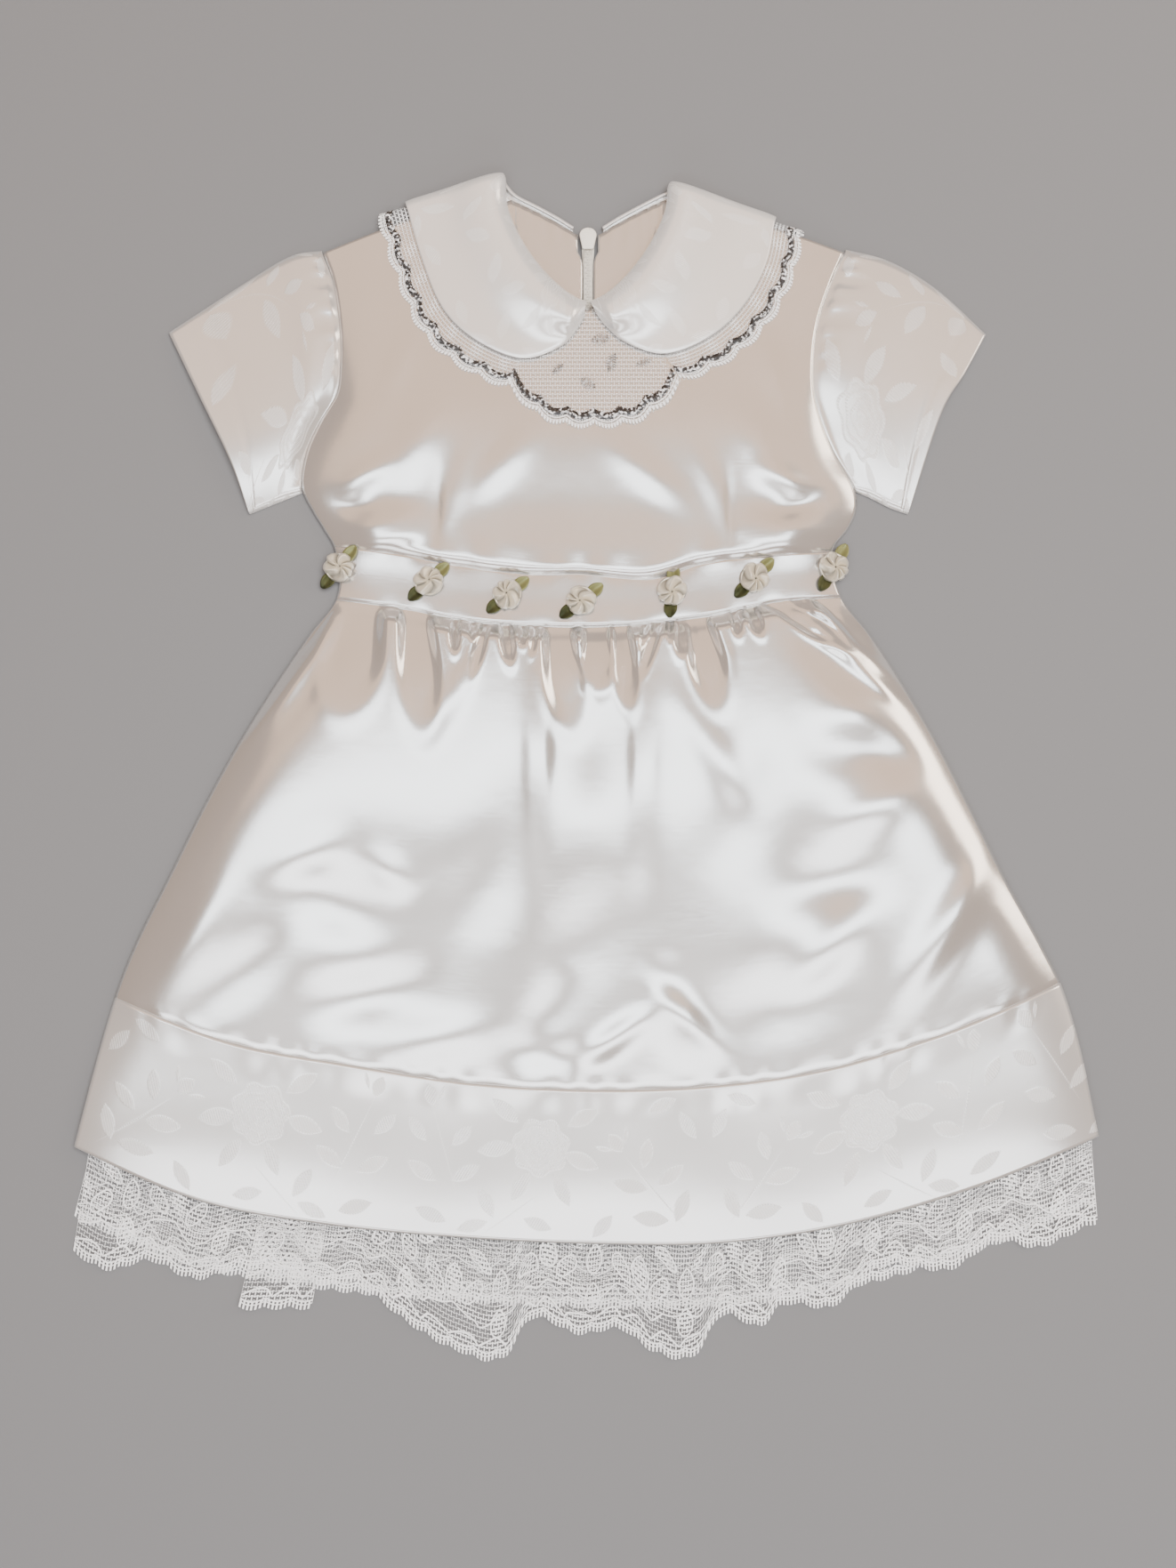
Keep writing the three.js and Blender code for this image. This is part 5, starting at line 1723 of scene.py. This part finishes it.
def skirt_front_height():
    """The height of the skirt front: its gathers and creases, and the puckers above the hem band."""
    gathered = gather_form()

    def height(x, y, across, down):
        pucker = puckered(x, HEM_PUCKER) * smoothstep(down, 0.955, 1)
        detail = skirt_creases(x, y) + gathered(x, y) + pucker
        return front_middle(x, y) + detail * side_share(x, y) - seam_tuck(down, SKIRT_LENGTH)

    return height


class GOWN_OT_skirt(bpy.types.Operator):
    """Gathered skirt front with its long folds and dimples, and the two halves of its back"""

    bl_idname = "gown.skirt"
    bl_label = "Skirt"

    def execute(self, context):
        panel = band_panel("waist_bottom", "band_seam")
        front_panel = band_panel("waist_bottom", "band_seam", SEAM_TUCK.reach, -SEAM_TUCK.reach)
        cut = (0.47, 0.225)
        place = panel_place(front_panel, skirt_front_height(), spread=1.3)
        front = cloth_piece("skirt_front", place, columns=270, rows=160, cut=cut)
        half_cut = (0.22, 0.222)
        for side in sides:
            half = back_half("skirt_back", half_back(panel, side), side, columns=60, rows=70, cut=half_cut)
        return {"FINISHED"}


def hem_front_middle(x, y, down):
    """Height of the hem band's front, which stands on the two laces caught inside it."""
    return front_middle(x, y) + HEM_LIFT * smoothstep(down, 0, 0.85)


def hem_front_height(x, y, across, down):
    near_seam = 1 - smoothstep(down, 0, 0.2)
    pucker = puckered(x, HEM_PUCKER) * near_seam
    slack = HEM_SLACK.height * math.sin(x / HEM_SLACK.wave + HEM_SLACK.start) * math.sin(math.pi * down)
    slack += HEM_RIPPLE.height * math.sin(x / HEM_RIPPLE.wave + HEM_RIPPLE.lean * down) * near_seam
    return hem_front_middle(x, y, down) + (pucker + slack) * side_share(x, y)


class GOWN_OT_hem_band(bpy.types.Operator):
    """Jacquard hem band, front and back"""

    bl_idname = "gown.hem_band"
    bl_label = "Hem band"

    def execute(self, context):
        panel = band_panel("band_seam", "hem")
        cut = (0.485, 0.076)
        jacquard = {"finish": "gown_jacquard", "slot": "jacquard"}
        place = panel_place(panel, hem_front_height)
        front = cloth_piece("hem_band_front", place, columns=300, rows=46, cut=cut, **jacquard)
        place = panel_place(panel, back_height)
        back = cloth_piece("hem_band_back", place, columns=100, rows=20, cut=cut, **jacquard)
        return {"FINISHED"}


# Hem lace


def flower_lace(length, top, pitch, thread, petals):
    """A length of hem lace: net, two rows of fans, and petals of cloth work outlined in thick thread."""
    edge = scallops(HEM_LACE.scallop, HEM_LACE.scallop_depth)
    repeat = HEM_LACE.repeat

    def fan_line(fan):
        return lambda x: edge(x) + fan.rise + fan.depth * abs(math.sin(math.pi * x / fan.span))

    low_fan, high_fan = fan_line(LOW_FAN), fan_line(HIGH_FAN)

    def fill(x, y):
        if y < edge(x) + HEM_NET.cut or y > top(x):
            return None
        local = (x + repeat / 2) % repeat - repeat / 2
        for petal in petals:
            for shift in (-repeat, 0, repeat):
                if inside_petal(local + shift, y - edge(x), petal) > 0.05:
                    return HEM_NET.dense if petal.dense else HEM_NET.petal
        if y < low_fan(x):
            return HEM_NET.fan
        return HEM_NET.high if 0 < y - high_fan(x) < HEM_NET.high_depth else HEM_NET.open

    lace = Lace()
    deepest = max(top(length * i / 400) for i in range(401))
    lace.net(length, deepest, pitch, fill)
    lace.fringe(length, edge, HEM_EDGING.pitch, HEM_EDGING.size)
    lace.thread(path_along(length, HEM_EDGING.step, low_fan), thread * HEM_THREAD.low)
    lace.thread(path_along(length, HEM_EDGING.step, high_fan), thread * HEM_THREAD.high)
    clear = HEM_THREAD.clear
    for k in range(int(length / repeat) + 2):
        for petal in petals:
            x = k * repeat + petal.x
            outline = ring_path(x, petal.y, petal.turn, petal.length, petal.width, HEM_THREAD.petal_points)
            worked = [Vector((p.x, p.y + edge(p.x))) for p in outline]
            if all(clear < p.x < length - clear and p.y < top(p.x) - clear for p in worked):
                lace.thread(worked, thread * HEM_THREAD.petal, HEM_THREAD.petal_lift)
    return lace


def hem_lace_place(drop_at, settle, caught_height, lying, ruffle):
    """Where hem lace lies: y is measured up from its lower edge, which drops below the hem by drop_at."""
    hem = cross_line("hem", 0)
    start, width = hem(0).x, hem(1).x - hem(0).x

    def place(x, y, lift):
        share = x / HEM_LENGTH
        drop = drop_at(x)
        distance = drop - y
        top_x = mix(HEM_LACE.left_top, HEM_LACE.right_top, share)
        foot_x = mix(HEM_LACE.left_foot, HEM_LACE.right_foot, share)
        across = mix(top_x, foot_x, max(0, distance) / drop)
        hem_y = hem((top_x - start) / width).y
        free = smoothstep(distance, HEM_LACE.clear, settle)
        wave = ruffle * free * (HEM_RUFFLE.height + puckered(across, HEM_RUFFLE))
        return (across, hem_y - distance, mix(caught_height(across, hem_y), lying, free) + wave + lift)

    return place


def hem_lace_front_mesh(pitch, thread):
    """The front's hem lace, with the box fold that lies on it."""
    drop = reader(LACE_DROPS, "x", "drop")

    def drop_at(x):
        return drop(x + HEM_LACE.left_foot) + HEM_LACE.scallop_depth

    place = hem_lace_place(
        drop_at,
        settle=HEM_LACE.front_settle,
        caught_height=lambda x, hem_y: hem_front_middle(x, hem_y, 1) - LACE_LIFT - SEAM_GAP / 2,
        lying=LACE_WALL + SEAM_GAP + LACE_WALL / 2,
        ruffle=HEM_LACE.ruffle,
    )
    lace = flower_lace(HEM_LENGTH, lambda x: drop_at(x) + HEM_LACE.tuck, pitch, thread, HEM_PETALS)
    lace.lay(place)
    fold_width = BOX_FOLD.right - BOX_FOLD.left
    fold_left = BOX_FOLD.left - HEM_LACE.left_foot

    def fold_drop(x):
        return mix(BOX_FOLD.drop_left, BOX_FOLD.drop_right, x / fold_width)

    def fold_place(x, y, lift):
        lower = drop_at(fold_left + x) - fold_drop(x)
        return place(fold_left + x, y + lower, lift + BOX_FOLD.lift)

    fold = flower_lace(fold_width, lambda x: fold_drop(x) + 1, pitch, thread, HEM_PETALS)
    fold.lay(fold_place)
    lace.take(fold.mesh)
    return lace.mesh


def hem_lace_back_mesh(pitch, thread):
    """The back's hem lace, which lies flat and has no petals."""
    drop = HEM_LACE.back_drop + HEM_LACE.scallop_depth
    top = drop + HEM_LACE.tuck
    place = hem_lace_place(
        lambda x: drop,
        settle=HEM_LACE.back_settle,
        caught_height=lambda x, hem_y: SATIN_WALL + SEAM_GAP + LACE_WALL / 2,
        lying=LACE_WALL / 2,
        ruffle=0,
    )
    lace = flower_lace(HEM_LENGTH, lambda x: top, pitch * BACK_LACE.net, thread * BACK_LACE.thread, petals=())
    lace.lay(place)
    return lace.mesh


class GOWN_OT_hem_lace(bpy.types.Operator):
    """Gathered hem lace, front and back, with the box fold that lies on the front"""

    bl_idname = "gown.hem_lace"
    bl_label = "Hem lace"

    def execute(self, context):
        sizes = context.scene.gown_sizes
        pitch, thread = sizes.net_pitch / MM, sizes.thread / MM
        mesh = hem_lace_front_mesh(pitch, thread)
        front = finish_piece(mesh, "hem_lace_front_net", ["gown_lace"], "lace", ["hem_lace_front"])
        mesh = hem_lace_back_mesh(pitch, thread)
        back = finish_piece(mesh, "hem_lace_back_net", ["gown_lace"], "lace", ["hem_lace_back"])
        return {"FINISHED"}


# Ribbon roses


def band_top(x, y):
    """Height of the waistband's upper face."""
    return front_middle(x, y) + SATIN_WALL / 2 + SEAM_GAP


def leaf_mesh(rose):
    """One ribbon under a rose, whose two ends are folded into pointed leaves."""
    turn = math.radians(rose.leaf_turn)

    def place(across, down):
        along = 2 * across - 1
        aside = 2 * down - 1
        blade = min(max((abs(along) - LEAF_FORM.stalk) / (1 - LEAF_FORM.stalk), 0), 1)
        bulge = math.sin(math.pi * blade) ** LEAF_FORM.round
        base = mix(LEAF.middle_width, LEAF.tip_width, abs(along))
        half = aside * mix(base, LEAF.widest, bulge) / 2
        x = rose.x + LEAF.reach * along * math.cos(turn) - half * math.sin(turn)
        y = rose.y + LEAF.reach * along * math.sin(turn) + half * math.cos(turn)
        fold = LEAF.fold * bulge * abs(aside)
        fold += LEAF_FORM.curl * bulge * math.sin(LEAF_FORM.curl_turns * along)
        return (x, y, band_top(x, y) + RIBBON_WALL / 2 + LEAF_FORM.lift + fold)

    return shaped_grid(36, 6, place, LEAF_CUT)


def rose_mesh(rose, radius):
    """A ribbon rose: one ribbon drawn up round an eye, with pleats that lap over each other."""
    base = band_top(rose.x, rose.y) + RIBBON_WALL + SEAM_GAP
    spin = math.radians(rose.spin)
    mesh = bmesh.new()

    def pleated(across, down):
        angle = 2 * math.pi * across
        uneven = sum(size * math.sin(turns * angle + phase) for turns, size, phase in PLEAT_WAVES)
        part = (PLEAT.count * across + uneven + PLEAT.swirl * down) % 1
        reach = radius * mix(ROSE_EYE.radius, 1, down) * (1 - ROSE_FORM.notch * (2 * part - 1) ** 2)
        eye = PLEAT.eye * (1 - down)
        dome = ROSE_FORM.height * (ROSE_FORM.shoulder + ROSE_FORM.crown * (1 - down * down))
        dome -= ROSE_EYE.depth * (1 - smoothstep(down, 0, 0.22))
        slant = min(part / PLEAT.rise, (1 - part) / (1 - PLEAT.rise))
        lap = PLEAT.height * (slant - 0.5) * smoothstep(down, 0.03, 0.35)
        rim = ROSE_FORM.rim * smoothstep(down, 0.85, 1)
        x = rose.x + reach * math.cos(angle + spin) + eye * math.cos(spin)
        y = rose.y + reach * math.sin(angle + spin) + eye * math.sin(spin)
        return (x, y, base + dome + lap - rim)

    shaped_grid(126, 12, pleated, ROSE_CUT, mesh)

    def underside(across, down):
        angle = 2 * math.pi * across
        reach = radius * mix(ROSE_UNDERSIDE.outer, ROSE_UNDERSIDE.inner, down)
        height = mix(ROSE_FORM.height * ROSE_UNDERSIDE.top, ROSE_UNDERSIDE.foot, down)
        return (rose.x + reach * math.cos(angle), rose.y + reach * math.sin(angle), base + height)

    shaped_grid(24, 2, underside, (ROSE_CUT[0], ROSE_UNDERSIDE.cut), mesh)
    return mesh


class GOWN_OT_roses(bpy.types.Operator):
    """Seven ribbon roses on the waistband, each over a ribbon of two leaves"""

    bl_idname = "gown.roses"
    bl_label = "Ribbon roses"

    def execute(self, context):
        sizes = context.scene.gown_sizes
        for number, rose in enumerate(ROSES, 1):
            node = f"leaves_{number}"
            leaves = finish_piece(leaf_mesh(rose), f"{node}_ribbon", ["gown_leaf"], "leaf_ribbon", [node])
            thicken(leaves, sizes.ribbon_wall)
            node = f"rosette_{number}"
            mesh = rose_mesh(rose, sizes.rose_radius / MM)
            bloom = finish_piece(mesh, f"{node}_ribbon", ["gown_rose"], "rose_ribbon", [node])
            thicken(bloom, sizes.ribbon_wall)
        return {"FINISHED"}


# Zip


def chain_mesh():
    """Zip tape with the two interlocked rows of its coil."""

    def tape(across, down):
        y = mix(ZIP.top_y, ZIP.foot_y, down)
        return (mix(-ZIP.half, ZIP.half, across), y, back_middle(0, y))

    mesh = shaped_grid(4, 40, tape, (0.0044, 0.203))
    bmesh.ops.solidify(mesh, geom=mesh.faces[:], thickness=ZIP.tape_wall * MM)
    count = int((ZIP.top_y - ZIP.foot_y) / ZIP.pitch)
    for i in range(count):
        y = ZIP.top_y - ZIP.pitch * (i + 0.5)
        side = 1 if i % 2 else -1
        loop = bmesh.ops.create_uvsphere(mesh, u_segments=6, v_segments=4, radius=COIL.radius * MM)["verts"]
        bmesh.ops.scale(mesh, verts=loop, vec=COIL.form)
        bmesh.ops.translate(mesh, verts=loop, vec=Vector((side * COIL.aside, y, back_middle(0, y))) * MM)
    return mesh


def raise_wall(mesh, faces, height):
    """Makes a plate of faces, with a wall of a height in millimetres."""
    raised = bmesh.ops.extrude_face_region(mesh, geom=faces)["geom"]
    verts = [part for part in raised if isinstance(part, bmesh.types.BMVert)]
    bmesh.ops.translate(mesh, verts=verts, vec=Vector((0, 0, height)) * MM)
    bmesh.ops.recalc_face_normals(mesh, faces=mesh.faces)


def sharp_edges(mesh, angle):
    """Edges whose faces turn by more than an angle in radians."""
    return [edge for edge in mesh.edges if edge.calc_face_angle(0) > angle]


def round_edges(mesh, edges, radius, segments):
    """Rounds edges by a radius in millimetres."""
    bmesh.ops.bevel(
        mesh,
        geom=edges,
        offset=radius * MM,
        offset_type="OFFSET",
        segments=segments,
        profile=0.5,
        affect="EDGES",
        material=-1,
    )


def slider_mesh():
    """Slider body with rounded shoulders, and the bridge under it that holds the pull."""
    mesh = bmesh.new()
    length, top, foot = SLIDER.half_length, SLIDER.top_half, SLIDER.foot_half
    turns = [math.pi * i / 10 for i in range(11)]
    shoulder = [(top * math.cos(turn), length * (0.3 + 0.7 * math.sin(turn))) for turn in turns]
    outline = [(foot, -length), *shoulder, (-foot, -length)]
    corners = [mesh.verts.new(Vector((x, y + SLIDER.middle_y, SLIDER.bottom_z)) * MM) for x, y in outline]
    plate = mesh.faces.new(corners)
    raise_wall(mesh, [plate], SLIDER.top_z - SLIDER.bottom_z)
    round_edges(mesh, sharp_edges(mesh, SHARP.slider), ROUNDING.slider, segments=3)

    def block(low, high):
        made = bmesh.ops.create_cube(mesh, size=1)["verts"]
        size = [b - a for a, b in zip(low, high)]
        middle = [(a + b) / 2 for a, b in zip(low, high)]
        bmesh.ops.scale(mesh, verts=made, vec=Vector(size) * MM)
        bmesh.ops.translate(mesh, verts=made, vec=Vector(middle) * MM)
        edges = list({edge for vert in made for edge in vert.link_edges})
        round_edges(mesh, edges, ROUNDING.bridge, segments=2)

    y = SLIDER.middle_y
    rooted = SLIDER.bottom_z + BRIDGE.rooted
    for end in (-1, 1):
        near, far = sorted((end * BRIDGE.inner, end * BRIDGE.outer))
        block((-BRIDGE.half, y + near, BRIDGE.bottom), (BRIDGE.half, y + far, rooted))
    block((-BRIDGE.half, y - BRIDGE.outer, BRIDGE.bottom), (BRIDGE.half, y + BRIDGE.outer, BRIDGE.top))
    return mesh


def pull_mesh():
    """Pull tab: a rounded plate with a window near its bar."""

    def place(across, down):
        aside = 2 * across - 1
        outermost = abs(aside) == 1
        beside = aside if outermost else aside * 3 * PULL_WINDOW.half / PULL.half
        y = mix(PULL.above, -PULL.length, down)
        taper = mix(1, PULL.taper, smoothstep(down, 0, 0.8))
        tail = math.sqrt(max(0.12, 1 - max(0, (down - PULL.round_from) / (1 - PULL.round_from)) ** 2))
        return (PULL.half * beside * taper * tail, SLIDER.middle_y + y, PULL.axis_z - PULL.wall / 2)

    mesh = shaped_grid(3, 20, place, (0.006, 0.02))
    window = []
    for face in mesh.faces:
        middle = face.calc_center_median()
        depth = SLIDER.middle_y - middle.y / MM
        if abs(middle.x) < PULL_WINDOW.half / 2 * MM and PULL.above < depth < PULL_WINDOW.length:
            window.append(face)
    bmesh.ops.delete(mesh, geom=window, context="FACES")
    raise_wall(mesh, mesh.faces[:], PULL.wall)
    round_edges(mesh, sharp_edges(mesh, SHARP.pull), ROUNDING.pull, segments=2)
    return mesh


class GOWN_OT_zip(bpy.types.Operator):
    """Zip chain, slider and pull tab at the centre back"""

    bl_idname = "gown.zip"
    bl_label = "Zip"

    def execute(self, context):
        finish_piece(chain_mesh(), "zip_chain_coil", ["gown_zip"], "zip_coil", ["zip_chain"])
        enamel = ["gown_enamel"]
        finish_piece(slider_mesh(), "zip_slider_body", enamel, "zip_metal", ["zip_slider"])
        finish_piece(pull_mesh(), "zip_pull_tab", enamel, "zip_metal", ["zip_pull"], body="zip_pull")
        return {"FINISHED"}


# Stage

CAMERA = SimpleNamespace(height=0.95, centre_y=-0.0096, frame_height=0.735, sensor=36)
Lamp = namedtuple("Lamp", "name place aim width depth power tint mirrored")
LAMPS = (
    Lamp("upper_softbox", (0.0, -0.07, 1.55), (0, -0.07, 0), 1.7, 0.36, 9.0, (0.86, 0.94, 1.0), True),
    Lamp("lower_softbox", (0.0, -0.75, 1.55), (0, -0.75, 0), 1.7, 0.48, 10.5, (0.90, 0.95, 1.0), True),
    Lamp("head_softbox", (0.0, 0.98, 1.55), (0, 0.98, 0), 2.6, 1.4, 7.8, (1.0, 0.64, 0.42), True),
    Lamp("foot_window", (-0.1, -1.35, 0.8), (0, -0.05, 0), 1.2, 0.5, 6, (0.90, 0.95, 1.0), True),
    Lamp("warm_side", (1.3, 0.5, 0.8), (0, 0, 0), 0.6, 0.6, 6, (1.0, 0.86, 0.72), True),
    Lamp("fill", (0.3, 0.3, 1.8), (0, 0, 0), 0.9, 0.9, 52, (1.0, 0.98, 0.95), False),
)
ROOM_TINT = (0.72, 0.49, 0.35, 1.0)
ROOM_STRENGTH = 0.5
FLOOR = SimpleNamespace(half=3, drop=0.0003)


class GOWN_OT_stage(bpy.types.Operator):
    """Plain floor, soft studio lights and the camera above the gown"""

    bl_idname = "gown.stage"
    bl_label = "Stage"

    def execute(self, context):
        self.lay_floor(context.scene)
        self.hang_lamps(context.scene)
        self.set_camera(context.scene)
        return {"FINISHED"}

    def lay_floor(self, scene):
        finish = Finish("stage_floor")
        grain = finish.noise(finish.place(), 300.0)
        rgb = scene.gown_colours.floor
        finish.set("Base Color", finish.tint(grain, solid(rgb, 0.97), solid(rgb)))
        finish.set("Roughness", 0.8 + grain * 0.1)
        mesh = bmesh.new()
        bmesh.ops.create_grid(mesh, x_segments=1, y_segments=1, size=FLOOR.half)
        bmesh.ops.translate(mesh, verts=mesh.verts, vec=(0, 0, -FLOOR.drop))
        data = bpy.data.meshes.new("floor")
        mesh.to_mesh(data)
        mesh.free()
        data.materials.append(finish.material)
        floor = bpy.data.objects.new("floor", data)
        scene.collection.objects.link(floor)
        floor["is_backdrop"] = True

    def hang_lamps(self, scene):
        for lamp in LAMPS:
            light = bpy.data.lights.new(lamp.name, "AREA")
            light.shape = "RECTANGLE"
            light.size = lamp.width
            light.size_y = lamp.depth
            light.energy = lamp.power
            light.color = lamp.tint
            holder = bpy.data.objects.new(lamp.name, light)
            holder.location = lamp.place
            aim = Vector(lamp.aim) - Vector(lamp.place)
            holder.rotation_euler = aim.to_track_quat("-Z", "Y").to_euler()
            holder.visible_glossy = lamp.mirrored
            scene.collection.objects.link(holder)
        world = bpy.data.worlds.new("room")
        world.use_nodes = True
        room = world.node_tree.nodes["Background"]
        room.inputs["Color"].default_value = ROOM_TINT
        room.inputs["Strength"].default_value = ROOM_STRENGTH
        scene.world = world

    def set_camera(self, scene):
        lens = bpy.data.cameras.new("camera")
        lens.sensor_width = CAMERA.sensor
        lens.lens = CAMERA.sensor * CAMERA.height / CAMERA.frame_height
        camera = bpy.data.objects.new("camera", lens)
        camera.location = (0, CAMERA.centre_y, CAMERA.height)
        scene.collection.objects.link(camera)
        scene.camera = camera


class GOWN_PT_pieces(bpy.types.Panel):
    """Lists the gown's pieces and settings"""

    bl_idname = "GOWN_PT_pieces"
    bl_label = "Christening gown"
    bl_space_type = "VIEW_3D"
    bl_region_type = "UI"
    bl_category = "Gown"

    def draw(self, context):
        layout = self.layout
        for settings in (context.scene.gown_sizes, context.scene.gown_colours):
            box = layout.box()
            for name in settings.__annotations__:
                box.prop(settings, name)
        for operator in OPERATORS:
            layout.operator(operator.bl_idname)


OPERATORS = (
    GOWN_OT_bodice,
    GOWN_OT_sleeves,
    GOWN_OT_collar_lace,
    GOWN_OT_collar,
    GOWN_OT_waistband,
    GOWN_OT_skirt,
    GOWN_OT_hem_band,
    GOWN_OT_hem_lace,
    GOWN_OT_roses,
    GOWN_OT_zip,
    GOWN_OT_stage,
)
CLASSES = (GownSizes, GownColours, *OPERATORS, GOWN_PT_pieces)


def register():
    for item in CLASSES:
        bpy.utils.register_class(item)
    bpy.types.Scene.gown_sizes = PointerProperty(type=GownSizes)
    bpy.types.Scene.gown_colours = PointerProperty(type=GownColours)


def unregister():
    del bpy.types.Scene.gown_colours
    del bpy.types.Scene.gown_sizes
    for item in reversed(CLASSES):
        bpy.utils.unregister_class(item)


def main():
    register()
    for operator in OPERATORS:
        group, name = operator.bl_idname.split(".")
        getattr(getattr(bpy.ops, group), name)()
    boxes = {"cad": cad_box, "visual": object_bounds()}
    sizes = {key: [list(corner) for corner in box] for key, box in boxes.items()}


if __name__ == "__main__":
    main()
